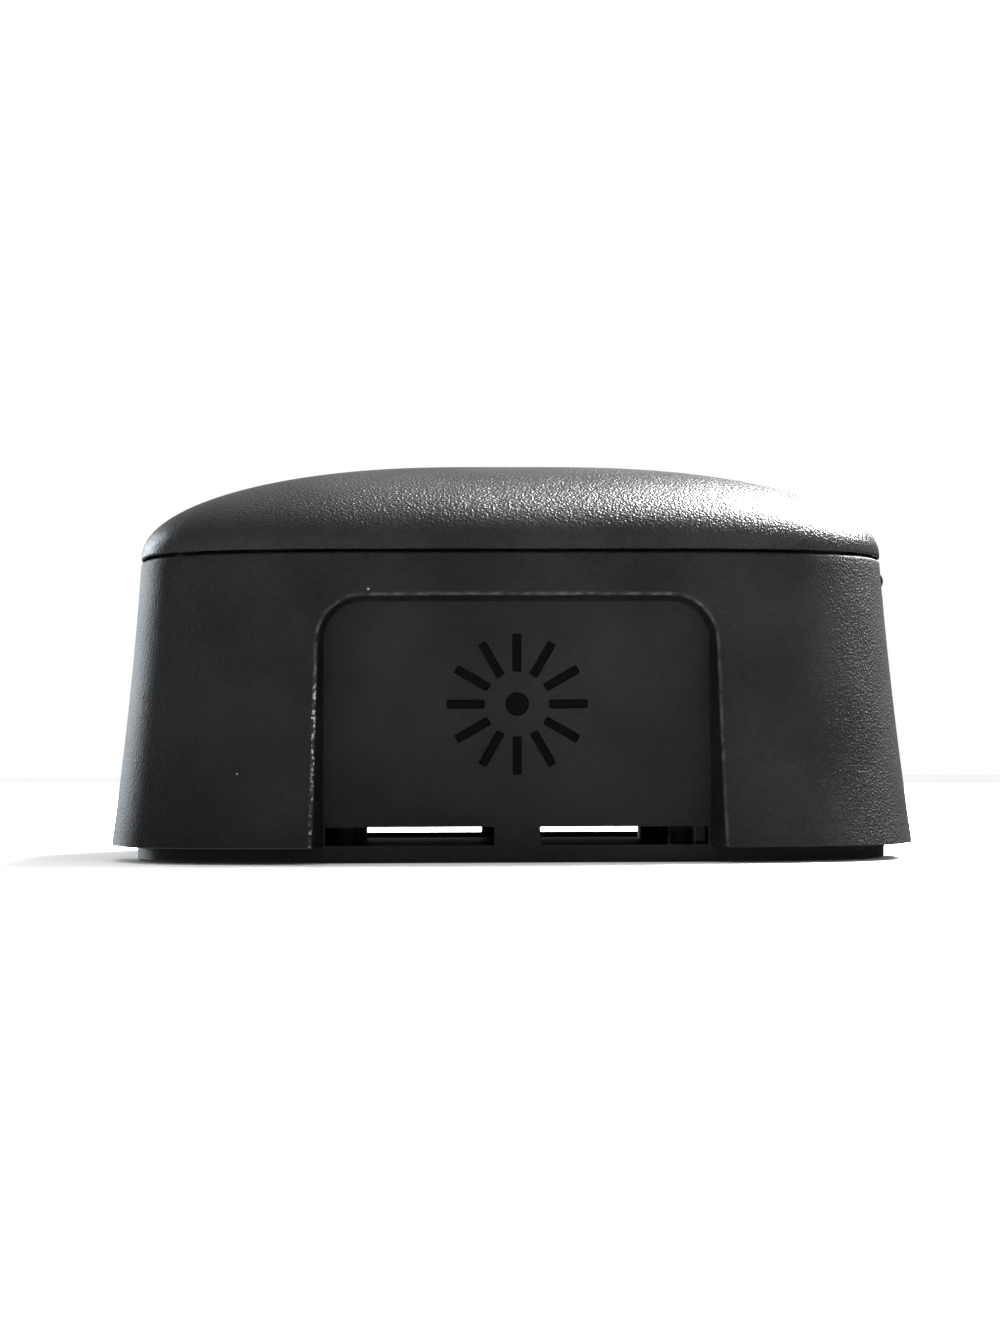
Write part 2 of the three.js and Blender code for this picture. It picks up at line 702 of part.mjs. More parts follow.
// ---------------------------------------------------------------- lock
const flangeTop = pocketFloor + CONTACT_GAP + FLANGE_HEIGHT;

function lockHousing() {
  const seat = pocketFloor + CONTACT_GAP;
  const bore = PLUG_RADIUS + CONTACT_GAP;
  return turned(lockX, 0, [
    [bore, barrelBottom],
    [BARREL_RADIUS, barrelBottom],
    [BARREL_RADIUS, seat],
    [FLANGE_RADIUS, seat],
    [FLANGE_RADIUS, flangeTop],
    [bore, flangeTop],
    [bore, barrelBottom],
  ]);
}

function lockPlug() {
  const bottom = camTop + CONTACT_GAP;
  const body = post(lockX, 0, [bottom, flangeTop], PLUG_RADIUS);
  const halfWidth = KEYWAY_WIDTH / 2;
  const halfLength = KEYWAY_LENGTH / 2;
  const keyway = block(
    [lockX - halfWidth, lockX + halfWidth],
    [-halfLength, halfLength],
    [flangeTop - KEYWAY_DEPTH, flangeTop + OVERCUT],
  );
  const bore = post(lockX, 0, [bottom - OVERCUT, bottom + CAM_SCREW_DEPTH], CAM_SCREW_RADIUS + CONTACT_GAP);
  return cut(body, keyway, bore);
}

function lockNut() {
  const top = pocketFloor - LID_WALL - CONTACT_GAP;
  const hexagon = post(lockX, 0, [top - NUT_HEIGHT, top], NUT_RADIUS, NUT_SIDES);
  const hole = post(lockX, 0, [top - NUT_HEIGHT - OVERCUT, top + OVERCUT], BARREL_RADIUS + CONTACT_GAP);
  return cut(hexagon, hole);
}

// The cam points along +Y when it is unlocked, and turns under the shell's rim.
function lockCam() {
  const tip = CAM_REACH - CAM_HALF_WIDTH;
  const shape = new THREE.Shape();
  shape.absarc(0, 0, CAM_HALF_WIDTH, Math.PI, 2 * Math.PI);
  shape.lineTo(CAM_HALF_WIDTH, tip);
  shape.absarc(0, tip, CAM_HALF_WIDTH, 0, Math.PI);
  shape.closePath();
  const geometry = extruded(shape, CAM_WALL);
  geometry.translate(lockX, 0, camTop - CAM_WALL);
  const holeSpan = [camTop - CAM_WALL - OVERCUT, camTop + OVERCUT];
  const hole = post(lockX, 0, holeSpan, CAM_SCREW_RADIUS + CONTACT_GAP);
  return cut(solidOf(geometry), hole);
}

function camScrew() {
  const seat = camTop - CAM_WALL - CONTACT_GAP;
  const screw = turned(0, 0, [
    [0, seat - CAM_HEAD_HEIGHT],
    [CAM_HEAD_RADIUS, seat - CAM_HEAD_HEIGHT],
    [CAM_HEAD_RADIUS, seat],
    [CAM_SCREW_RADIUS, seat],
    [CAM_SCREW_RADIUS, camTop + CAM_SCREW_DEPTH - CONTACT_GAP],
    [0, camTop + CAM_SCREW_DEPTH - CONTACT_GAP],
  ]);
  return cut(screw, ...driveCross(seat - CAM_HEAD_HEIGHT, CAM_HEAD_RADIUS)).translate([lockX, 0, 0]);
}

// ---------------------------------------------------------------- finishes
const finishes = {
  shell: { color: 0x232325, roughness: 0.55, metalness: 0 },
  lid: { color: 0x1f1f21, roughness: 0.5, metalness: 0 },
  base: { color: 0x1c1c1e, roughness: 0.45, metalness: 0 },
  insert: { color: 0x2a2a2c, roughness: 0.5, metalness: 0 },
  steel: { color: 0xb4b6b8, roughness: 0.3, metalness: 1 },
  brass: { color: 0xb9a05a, roughness: 0.35, metalness: 1 },
  bait: { color: 0x2f6f8a, roughness: 0.8, metalness: 0 },
};

function piece(name, solid, finish) {
  const mesh = new THREE.Mesh(geometryOf(solid), new THREE.MeshStandardMaterial(finishes[finish]));
  mesh.name = name;
  return mesh;
}

function groupOf(...meshes) {
  const group = new THREE.Group();
  group.add(...meshes);
  return group;
}

// ---------------------------------------------------------------- the station
const corners = [
  ["front_left", -1, -1],
  ["front_right", 1, -1],
  ["back_left", -1, 1],
  ["back_right", 1, 1],
];

const body = groupOf(
  piece("base", base(), "base"),
  piece("outer_shell", outerShell(), "shell"),
  piece("left_baffle", baffle(-1), "insert"),
  piece("right_baffle", baffle(1), "insert"),
  piece("hinge_pin", hingePin(), "steel"),
);
for (const [place, sideX, sideY] of corners) {
  const screw = piece("base_screw_" + place, baseScrew(), "steel");
  screw.position.set(sideX * screwX, sideY * screwY, 0);
  body.add(screw);
}

const bait = groupOf(piece("bait_tray", baitTray(), "insert"));
for (const [place, side] of [["left", -1], ["right", 1]]) {
  bait.add(piece("bait_rod_" + place, baitRod(side), "steel"));
}
for (const [place, sideX, sideY] of corners) {
  bait.add(piece("bait_block_" + place, baitBlock(sideX, sideY), "bait"));
}

const cover = groupOf(
  piece("lid", lid(), "lid"),
  piece("lock_housing", lockHousing(), "brass"),
  piece("lock_nut", lockNut(), "brass"),
  piece("lock_plug", lockPlug(), "brass"),
  piece("lock_cam", lockCam(), "steel"),
  piece("lock_cam_screw", camScrew(), "steel"),
);

const station = new THREE.Group();
station.add(body, bait, cover);
export default station;
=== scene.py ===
import math

import bpy
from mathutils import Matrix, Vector


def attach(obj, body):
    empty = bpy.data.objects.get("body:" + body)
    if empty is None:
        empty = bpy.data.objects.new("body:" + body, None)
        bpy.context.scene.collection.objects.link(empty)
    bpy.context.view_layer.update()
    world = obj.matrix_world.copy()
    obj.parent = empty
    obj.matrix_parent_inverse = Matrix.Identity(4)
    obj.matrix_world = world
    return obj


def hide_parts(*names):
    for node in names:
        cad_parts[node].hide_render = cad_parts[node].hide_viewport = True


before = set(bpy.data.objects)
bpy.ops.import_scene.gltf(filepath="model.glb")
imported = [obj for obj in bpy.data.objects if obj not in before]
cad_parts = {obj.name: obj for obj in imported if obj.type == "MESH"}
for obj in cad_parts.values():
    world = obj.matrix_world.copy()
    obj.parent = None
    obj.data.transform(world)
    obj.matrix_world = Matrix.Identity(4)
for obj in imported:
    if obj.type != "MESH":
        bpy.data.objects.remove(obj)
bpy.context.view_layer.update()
bpy.ops.object.select_all(action="DESELECT")


# ---- Outer shell
# The flared skirt is one polypropylene moulding with a turned-in rim. It is drawn in as a recess at
# the front and the back, has an arched entrance in each end, and a notch at the right for the hinge.
MM = 0.001
HALF_WIDTH = 120 * MM
HALF_DEPTH = 90 * MM
CORNER_POWER = 4.5
SKIRT_LOW = 4.6 * MM
SKIRT_TOP = 88.2 * MM
NOTCH_LOW = 77.7 * MM
FLARE = 8.2 * MM
FLARE_STRAIGHT = 0.66
SHELL_WALL = 2.5 * MM
RIM_WIDTH = 8 * MM
RIM_ROUND = 0.9 * MM
PANEL_FACE = 76 * MM
RECESS_DRAFT = 0.23
REVEAL_GAP = 0.3 * MM
EDGE_ROUND = 1.0 * MM
FRONT_SHARE = math.radians(65.8)
END_SHARE = math.radians(17.86)
LEG_ROWS = 20
ARC_ROWS = 12
TOP_COLUMNS = 36
UPPER_ROWS = 4
STRIP_ROWS = 6
ROUND_ROWS = 4
REVEAL_ROWS = 3
CORNER_COLUMNS = 30
EDGE_PASSES = 3
WELD = 2e-6
SHARP = 35


def plan(half_width, half_depth, turn):
    """A point on a superellipse. A quarter turn goes from the end (0) to the face (90 degrees)."""
    power = 2 / CORNER_POWER
    x = half_width * abs(math.cos(turn)) ** power
    y = half_depth * abs(math.sin(turn)) ** power
    return math.copysign(x, math.cos(turn)), math.copysign(y, math.sin(turn))


def skirt(z, inset=0.0):
    """Half width and half depth of the skirt's outer face at height z."""
    drop = (SKIRT_TOP - z) / (SKIRT_TOP - SKIRT_LOW)
    spread = FLARE * (FLARE_STRAIGHT * drop + (1 - FLARE_STRAIGHT) * drop * drop)
    return HALF_WIDTH - FLARE + spread - inset, HALF_DEPTH - FLARE + spread - inset


def across(value, half_along, half_across):
    """How far out the superellipse is, at a place along one of its sides."""
    return half_across * (1 - min(1, abs(value) / half_along) ** CORNER_POWER) ** (1 / CORNER_POWER)


def patch(name, columns, rows, place):
    """A grid primitive with each vertex moved to place(column, row)."""
    bpy.ops.object.select_all(action="DESELECT")
    bpy.ops.mesh.primitive_grid_add(x_subdivisions=columns, y_subdivisions=rows, size=2)
    made = bpy.context.object
    made.name = name
    for vertex in made.data.vertices:
        column = (vertex.co.x + 1) / 2 * columns
        row = (vertex.co.y + 1) / 2 * rows
        vertex.co = place(round(column), round(row))
    return made


def joined(name, parts):
    """Joins parts in one mesh. Closed parts may pass into each other."""
    bpy.ops.object.select_all(action="DESELECT")
    for part in parts:
        part.select_set(True)
    bpy.context.view_layer.objects.active = parts[0]
    if len(parts) > 1:
        bpy.ops.object.join()
    made = bpy.context.object
    made.name = name
    made.data.name = name
    return made


def merged(made):
    """Merges the vertices that patches share, and turns the faces outwards."""
    bpy.ops.object.mode_set(mode="EDIT")
    bpy.ops.mesh.select_all(action="SELECT")
    bpy.ops.mesh.remove_doubles(threshold=WELD)
    bpy.ops.mesh.normals_make_consistent(inside=False)
    bpy.ops.object.mode_set(mode="OBJECT")
    return made


def apply_modifier(made, kind, **settings):
    """Adds a modifier with its settings and applies it at once."""
    modifier = made.modifiers.new(kind.title(), kind)
    for key, value in settings.items():
        setattr(modifier, key, value)
    bpy.ops.object.select_all(action="DESELECT")
    made.select_set(True)
    bpy.context.view_layer.objects.active = made
    bpy.ops.object.modifier_apply(modifier=modifier.name)
    return made


def smoothed(made, angle):
    """Shades smooth, but for edges sharper than the angle in degrees."""
    bpy.ops.object.select_all(action="DESELECT")
    made.select_set(True)
    bpy.context.view_layer.objects.active = made
    bpy.ops.object.shade_smooth_by_angle(angle=math.radians(angle))
    return made


def arch_point(column, half_width, top, corner, grow):
    """A point on an arch's outline, from the foot of one leg, over the top, to the foot of the other."""
    leg_rows = LEG_ROWS - ARC_ROWS // 2
    top_rows = TOP_COLUMNS - ARC_ROWS
    half = half_width + grow
    high = top + grow
    radius = corner + grow
    if column > LEG_ROWS + TOP_COLUMNS / 2:
        x, z = arch_point(2 * LEG_ROWS + TOP_COLUMNS - column, half_width, top, corner, grow)
        return -x, z
    if column <= leg_rows:
        return -half, SKIRT_LOW + (high - radius - SKIRT_LOW) * column / leg_rows
    if column <= leg_rows + ARC_ROWS:
        turn = math.radians(90) * (column - leg_rows) / ARC_ROWS
        return -half + radius - radius * math.cos(turn), high - radius + radius * math.sin(turn)
    share = (column - leg_rows - ARC_ROWS) / top_rows
    return (-half + radius) * (1 - 2 * share), high


def frame_point(column, half_at):
    """A point on the straight frame round an arched patch. half_at gives its half width at a height."""
    if column > LEG_ROWS + TOP_COLUMNS / 2:
        x, z = frame_point(2 * LEG_ROWS + TOP_COLUMNS - column, half_at)
        return -x, z
    z = SKIRT_LOW + (NOTCH_LOW - SKIRT_LOW) * min(column, LEG_ROWS) / LEG_ROWS
    share = max(0, column - LEG_ROWS) / TOP_COLUMNS
    return -half_at(z) * (1 - 2 * share), z


class Side:
    """A side of the skirt with an arch in it: a face (along X) or an end (along Y).

    inner_at gives how far out the reveal's inner end is, from how far out the skirt is there.
    """

    def __init__(self, is_face, arch, inner_at, draft):
        self.is_face = is_face
        self.arch = arch
        self.inner_at = inner_at
        self.draft = draft

    def out(self, along, z):
        """How far the skirt's outer face is from the middle."""
        wide, deep = skirt(z)
        return across(along, wide, deep) if self.is_face else across(along, deep, wide)

    def half_at(self, z):
        """Half the length of this side, up to where the corner begins."""
        x, y = plan(*skirt(z), FRONT_SHARE if self.is_face else END_SHARE)
        return x if self.is_face else y

    def edge(self, column, depth_share, rounding):
        """A point of the reveal. depth_share runs from the outer face (0) to the inner end (1)."""
        along, z = arch_point(column, *self.arch, 0)
        for _ in range(EDGE_PASSES):
            face = self.out(along, z)
            inner = self.inner_at(face)
            out = face + (inner - face) * depth_share
            out -= EDGE_ROUND * (1 - math.cos(rounding)) * (1 - depth_share)
            grow = self.draft * max(0, out - inner) + EDGE_ROUND * (1 - math.sin(rounding))
            along, z = arch_point(column, *self.arch, grow)
        return along, out, z

    def point(self, along, out, z, sign):
        """A place on the front or the right (sign 1), or on the back or the left (sign -1)."""
        if self.is_face:
            return Vector((sign * along, -sign * out, z))
        return Vector((sign * out, sign * along, z))


RECESS_ARCH = (55.2 * MM, 74.4 * MM, 11.5 * MM)
ENTRANCE_ARCH = (27 * MM, 52 * MM, 20 * MM)
ENTRANCE_DEPTH = 4 * MM
FACE = Side(True, RECESS_ARCH, lambda face: PANEL_FACE + REVEAL_GAP, RECESS_DRAFT)
END = Side(False, ENTRANCE_ARCH, lambda face: face - ENTRANCE_DEPTH, 0)
PATH = 2 * LEG_ROWS + TOP_COLUMNS


def arched_patch(side, sign):
    """The outer face round an arch, from the arch's edge to the straight frame round it."""
    def place(column, row):
        along, out, z = side.edge(column, 0, 0)
        far, high = frame_point(column, side.half_at)
        share = row / STRIP_ROWS
        along += (far - along) * share
        z += (high - z) * share
        return side.point(along, side.out(along, z), z, sign)

    return patch("skirt_side", PATH, STRIP_ROWS, place)


def reveal_patch(side, sign):
    """The arch's rounded edge and its reveal. The edge is marked, for the scuff wear and the painted
    highlight in the material.
    """
    def place(column, row):
        rounding = math.radians(90) * min(row, ROUND_ROWS) / ROUND_ROWS
        depth = max(0, row - ROUND_ROWS) / REVEAL_ROWS
        return side.point(*side.edge(column, depth, rounding), sign)

    reveal = patch("skirt_reveal", PATH, ROUND_ROWS + REVEAL_ROWS, place)
    wear_and_highlight_weight = reveal.data.attributes.new("wear_and_highlight_edge", "FLOAT", "POINT")
    for vertex in reveal.data.vertices:
        row = min(vertex.index // (PATH + 1), ROUND_ROWS)
        wear_and_highlight_weight.data[vertex.index].value = math.sin(math.pi * row / ROUND_ROWS)
    return reveal


def wall_level(row):
    """Height and inset of a row that goes up the wall above the notch, round the rim and inwards."""
    if row <= UPPER_ROWS:
        return NOTCH_LOW + (SKIRT_TOP - RIM_ROUND - NOTCH_LOW) * row / UPPER_ROWS, 0.0
    turn = math.radians(90) * min(row - UPPER_ROWS, ROUND_ROWS) / ROUND_ROWS
    z = SKIRT_TOP - RIM_ROUND * (1 - math.sin(turn))
    inset = RIM_ROUND * (1 - math.cos(turn))
    if row > UPPER_ROWS + ROUND_ROWS:
        inset = RIM_WIDTH
    return z, inset


WALL_ROWS = UPPER_ROWS + ROUND_ROWS + 1


def upper_patch(side, sign):
    """The wall above the notch's level on one side, with the turned-in rim."""
    def place(column, row):
        z, inset = wall_level(row)
        wide, deep = skirt(z, inset)
        x, y = plan(wide, deep, FRONT_SHARE if side.is_face else END_SHARE)
        half = x if side.is_face else y
        along = -half + 2 * half * column / TOP_COLUMNS
        out = across(along, wide, deep) if side.is_face else across(along, deep, wide)
        return side.point(along, out, z, sign)

    return patch("skirt_upper", TOP_COLUMNS, WALL_ROWS, place)


def corner_patch(sign_x, sign_y):
    """A corner of the skirt, from the foot to the rim's inner edge."""
    def place(column, row):
        turn = END_SHARE + (FRONT_SHARE - END_SHARE) * column / CORNER_COLUMNS
        if row <= LEG_ROWS:
            z, inset = SKIRT_LOW + (NOTCH_LOW - SKIRT_LOW) * row / LEG_ROWS, 0.0
        else:
            z, inset = wall_level(row - LEG_ROWS)
        x, y = plan(*skirt(z, inset), turn)
        return Vector((sign_x * x, sign_y * y, z))

    return patch("skirt_corner", CORNER_COLUMNS, LEG_ROWS + WALL_ROWS, place)


skirt_parts = []
for sign in (1, -1):
    for side in (FACE, END):
        skirt_parts.append(arched_patch(side, sign))
        skirt_parts.append(reveal_patch(side, sign))
    skirt_parts.append(upper_patch(FACE, sign))
    for sign_y in (1, -1):
        skirt_parts.append(corner_patch(sign, sign_y))
skirt_parts.append(upper_patch(END, -1))
shell = merged(joined("shell_moulding", skirt_parts))
apply_modifier(shell, "SOLIDIFY", thickness=SHELL_WALL, offset=-1, use_even_offset=True)
smoothed(shell, SHARP)


def box_piece(name, low, high, bevel=0.0):
    """A cube primitive between two corners, with its edges rounded."""
    bpy.ops.object.select_all(action="DESELECT")
    middle = [(a + b) / 2 for a, b in zip(low, high)]
    bpy.ops.mesh.primitive_cube_add(size=1, location=middle)
    made = bpy.context.object
    made.name = name
    made.data.name = name
    made.scale = [b - a for a, b in zip(low, high)]
    bpy.ops.object.transform_apply(location=True, rotation=False, scale=True)
    if bevel:
        apply_modifier(made, "BEVEL", width=bevel, segments=3, limit_method="ANGLE")
    return made


def bar_piece(name, centre, radius, length, along="Z", bevel=0.0, steps=48):
    """A cylinder primitive about its centre, with its end edges rounded."""
    bpy.ops.object.select_all(action="DESELECT")
    turn = (math.radians(90), 0, 0) if along == "Y" else (0, 0, 0)
    bpy.ops.mesh.primitive_cylinder_add(
        vertices=steps, radius=radius, depth=length, location=centre, rotation=turn
    )
    made = bpy.context.object
    made.name = name
    made.data.name = name
    bpy.ops.object.transform_apply(location=True, rotation=True, scale=True)
    if bevel:
        limit = {"limit_method": "ANGLE", "angle_limit": math.radians(60)}
        apply_modifier(made, "BEVEL", width=bevel, segments=3, **limit)
    return made


def trimmed(made, other, operation):
    """Cuts, joins or keeps made by another closed piece, which is then deleted."""
    apply_modifier(made, "BOOLEAN", operation=operation, object=other, solver="EXACT")
    bpy.data.objects.remove(other)
    return made


# Inside the moulding: a screw boss with its rib in each corner, and the hinge's shelf with four knuckles.
BOSS_AT = (86 * MM, 57 * MM)
BOSS_RADIUS = 4.4 * MM
BOSS_BORE = 2.3 * MM
BOSS_SPAN = (8.1 * MM, 40 * MM)
BOSS_BLIND = 8 * MM
FITTING_ROUND = 0.4 * MM
RIB_LOW = 12.3 * MM
RIB_WALL = 2.4 * MM
RIB_REACH = 19.2 * MM
RIB_SPREAD = 4 * MM
RIB_DROP = 0.5 * MM
SHELF_BOTTOM = 75.2 * MM
SHELF_HALF = 48.6 * MM
SHELF_INSET = 1.9 * MM
HINGE_X = 107.8 * MM
HINGE_Z = 82.2 * MM
HINGE_LENGTH = 94.6 * MM
KNUCKLE_COUNT = 7
KNUCKLE_RADIUS = 3 * MM
KNUCKLE_GAP = 0.6 * MM
WEB_HALF = 1.4 * MM
WEB_SINK = 0.5 * MM
SLIGHT = 0.05 * MM
PIN_BORE = 1.7 * MM


def screw_boss(sign_x, sign_y):
    """A blind boss in one corner, tied to the wall by a rib whose outer edge follows the flare."""
    middle = sum(BOSS_SPAN) / 2
    x, y = sign_x * BOSS_AT[0], sign_y * BOSS_AT[1]
    length = BOSS_SPAN[1] - BOSS_SPAN[0]
    boss = bar_piece("screw_boss", (x, y, middle), BOSS_RADIUS, length, bevel=FITTING_ROUND)
    rib_high = BOSS_SPAN[1] - RIB_DROP
    rib = box_piece("boss_rib", (0, -RIB_WALL / 2, RIB_LOW), (RIB_REACH, RIB_WALL / 2, rib_high))
    for vertex in rib.data.vertices:
        if vertex.co.x > RIB_REACH / 2 and vertex.co.z < rib_high - MM:
            vertex.co.x += RIB_SPREAD
    rib.rotation_euler = (0, 0, math.atan2(sign_y, sign_x))
    rib.location = (x, y, 0)
    bpy.ops.object.transform_apply(location=True, rotation=True, scale=True)
    trimmed(boss, rib, "UNION")
    bore = bar_piece("boss_bore", (x, y, middle - BOSS_BLIND), BOSS_BORE, length)
    return trimmed(boss, bore, "DIFFERENCE")


def knuckle_spans(first):
    """The spans along Y of every second knuckle of the hinge."""
    pitch = HINGE_LENGTH / KNUCKLE_COUNT
    starts = [-HINGE_LENGTH / 2 + i * pitch for i in range(first, KNUCKLE_COUNT, 2)]
    return [(start + KNUCKLE_GAP / 2, start + pitch - KNUCKLE_GAP / 2) for start in starts]


def knuckle(span, web_low, web_high, web_x):
    """A barrel on its web, bored for the pin."""
    middle = (HINGE_X, sum(span) / 2, HINGE_Z)
    barrel = bar_piece("knuckle", middle, KNUCKLE_RADIUS, span[1] - span[0], "Y", FITTING_ROUND)
    near, far = span[0] + SLIGHT, span[1] - SLIGHT
    web = box_piece("web", (web_x[0], near, web_low), (web_x[1], far, web_high))
    trimmed(barrel, web, "UNION")
    bore = bar_piece("pin_bore", middle, PIN_BORE, 2 * (span[1] - span[0]), "Y")
    return trimmed(barrel, bore, "DIFFERENCE")


shell_fittings = [screw_boss(x, y) for x in (1, -1) for y in (1, -1)]
shelf_wide = skirt(SHELF_BOTTOM, SHELL_WALL / 2)[0]
shell_fittings.append(
    box_piece(
        "hinge_shelf",
        (HINGE_X - KNUCKLE_RADIUS, -SHELF_HALF, SHELF_BOTTOM),
        (shelf_wide - SHELF_INSET, SHELF_HALF, NOTCH_LOW - SLIGHT),
        FITTING_ROUND,
    )
)
web_across = (HINGE_X - WEB_HALF, HINGE_X + WEB_HALF)
for span in knuckle_spans(0):
    shell_fittings.append(knuckle(span, SHELF_BOTTOM + WEB_SINK, HINGE_Z, web_across))
shell = smoothed(joined("shell_moulding", [shell] + shell_fittings), SHARP)


class Shade:
    """A socket in a material. Arithmetic on it adds Math nodes, and node() adds any other node."""

    def __init__(self, tree, socket=None):
        self.tree = tree
        self.socket = socket

    def node(self, kind, settings, inputs, output=0):
        """Adds a node with its settings and inputs, and gives one of its outputs."""
        made = self.tree.nodes.new(kind)
        for name, value in settings.items():
            setattr(made, name, value)
        for name, value in inputs.items():
            if isinstance(value, Shade):
                self.tree.links.new(value.socket, made.inputs[name])
            else:
                made.inputs[name].default_value = value
        return Shade(self.tree, made.outputs[output])

    def maths(self, operation, *others):
        return self.node("ShaderNodeMath", {"operation": operation}, dict(enumerate((self,) + others)))

    def __add__(self, other):
        return self.maths("ADD", other)

    def __sub__(self, other):
        return self.maths("SUBTRACT", other)

    def __rsub__(self, other):
        return self.node("ShaderNodeMath", {"operation": "SUBTRACT"}, {0: other, 1: self})

    def __mul__(self, other):
        return self.maths("MULTIPLY", other)

    __radd__ = __add__
    __rmul__ = __mul__

    def step(self, low, high):
        """0 below low, 1 above high, and smooth between."""
        settings = {"interpolation_type": "SMOOTHSTEP"}
        return self.node("ShaderNodeMapRange", settings, {"Value": self, "From Min": low, "From Max": high})

    def axis(self, name):
        return self.node("ShaderNodeSeparateXYZ", {}, {"Vector": self}, name)

    def stretched(self, x, y, z):
        """A place scaled by its own factor along each axis."""
        return self.node("ShaderNodeVectorMath", {"operation": "MULTIPLY"}, {0: self, 1: (x, y, z)})

    def noise(self, scale, detail=2.0):
        return self.node("ShaderNodeTexNoise", {}, {"Vector": self, "Scale": scale, "Detail": detail})

    def cells(self, scale, feature="F1", output="Distance"):
        """A lattice of uneven cells: the distance to a cell's middle, or its colour."""
        inputs = {"Vector": self, "Scale": scale}
        return self.node("ShaderNodeTexVoronoi", {"feature": feature}, inputs, output)

    def mix(self, low, high):
        """A colour between two colours, by this socket."""
        return self.node("ShaderNodeMix", {"data_type": "RGBA"}, {0: self, 6: low, 7: high}, 2)

    def feed(self, shader, name):
        """Links this socket to an input of a shader or an output node."""
        self.tree.links.new(self.socket, shader.inputs[name])


class Finish:
    """A material, its shader and the Object coordinates that its patterns read."""

    def __init__(self, name):
        self.material = bpy.data.materials.new(name)
        self.material.use_nodes = True
        tree = self.material.node_tree
        self.shader = tree.nodes["Principled BSDF"]
        self.place = Shade(tree).node("ShaderNodeTexCoord", {}, {}, "Object")

    def constant(self, **values):
        """Sets the shader's own sockets to fixed values."""
        for name, value in values.items():
            self.shader.inputs[name.replace("_", " ").title().replace("Ior", "IOR")].default_value = value

    def relief(self, height, depth):
        """Bump of the given depth in metres, for a height from 0 to 1."""
        inputs = {"Height": height, "Distance": depth, "Strength": 1.0}
        bump = height.node("ShaderNodeBump", {}, inputs, "Normal")
        bump.feed(self.shader, "Normal")

    def cover(self, piece):
        """Gives a piece this material alone."""
        piece.data.materials.clear()
        piece.data.materials.append(self.material)


# Moulded polypropylene: a fine spark grain, faint flow marks, and dust caught in the grain. The skirt
# has pale scuffs down the recess's left edge and a few scratches low on its right.
SHELL_DARK = (0.0036, 0.0036, 0.0041, 1)
SHELL_PALE = (0.0082, 0.0082, 0.009, 1)
# A pale grey for dust, scuffs and scratches, and also for the painted highlight along the arches' rounded
# edges.
DUST_AND_HIGHLIGHT_GREY = (0.42, 0.43, 0.45, 1)
GRAIN_SCALE = 1650
GRAIN_DEPTH = 0.26 * MM
SHELL_ROUGHNESS = 0.46
FLOW_SCALE = 34
SCUFF_LEFT_OF = -55 * MM
SCUFF_BELOW = 52 * MM


def moulded(name, dark, pale, grain_scale, grain_depth, rough):
    """A dark moulded plastic with an even grain. Returns the finish and its colour."""
    finish = Finish(name)
    place = finish.place
    warp = place.noise(grain_scale * 1.4, 2.0)
    pebble = place.cells(grain_scale, "SMOOTH_F1")
    grain = pebble * 0.9 + warp * 0.5
    flow = place.noise(FLOW_SCALE, 4.0)
    tone = (flow * 0.7 + place.noise(grain_scale * 0.5) * 0.5).step(0.35, 0.85)
    finish.relief(grain, grain_depth)
    (flow * 0.12 + rough - 0.06).feed(finish.shader, "Roughness")
    return finish, tone.mix(dark, pale)


def specks(place, scale, size, share):
    """Small round specks in a share of the cells of a lattice."""
    spot = 1 - place.cells(scale).step(size * 0.6, size)
    chosen = place.cells(scale, "F1", "Color").axis("X").step(1 - share, 1 - share + 0.01)
    return spot * chosen


shell_finish, shell_colour = moulded(
    "shell_plastic", SHELL_DARK, SHELL_PALE, GRAIN_SCALE, GRAIN_DEPTH, SHELL_ROUGHNESS
)
at = shell_finish.place
x, y, z = at.axis("X"), at.axis("Y"), at.axis("Z")
wear_and_highlight_edge = at.node("ShaderNodeAttribute", {"attribute_name": "wear_and_highlight_edge"}, {}, "Fac")
on_left = 1 - x.step(SCUFF_LEFT_OF - MM, SCUFF_LEFT_OF + MM)
low_down = 1 - z.step(SCUFF_BELOW - 8 * MM, SCUFF_BELOW + 8 * MM)
in_front = 1 - y.step(-70 * MM, -60 * MM)
scuffs = wear_and_highlight_edge * on_left * low_down * in_front * at.noise(900, 4.0).step(0.5, 0.62)
# A faint pale line along the arches' rounded edges is a painted highlight, mixed in with the real scuffs,
# scratches and dust.
painted_edge_highlight = wear_and_highlight_edge * at.noise(420, 3.0).step(0.3, 0.75)
hairline = at.stretched(60, 60, 900).noise(1.0, 3.0).step(0.655, 0.70)
scratched = in_front * x.step(58 * MM, 78 * MM) * (1 - z.step(20 * MM, 36 * MM))
patchy = scratched * at.noise(60).step(0.5, 0.6)
dust = specks(at, 190, 0.07, 0.05)
marks_and_edge_highlight = scuffs * 0.4 + painted_edge_highlight * 0.06 + hairline * patchy * 0.25 + dust * 0.4
marks_and_edge_highlight.mix(shell_colour, DUST_AND_HIGHLIGHT_GREY).feed(shell_finish.shader, "Base Color")
shell_finish.constant(specular_ior_level=0.26)
shell_finish.cover(shell)
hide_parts("outer_shell")
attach(shell, "station")


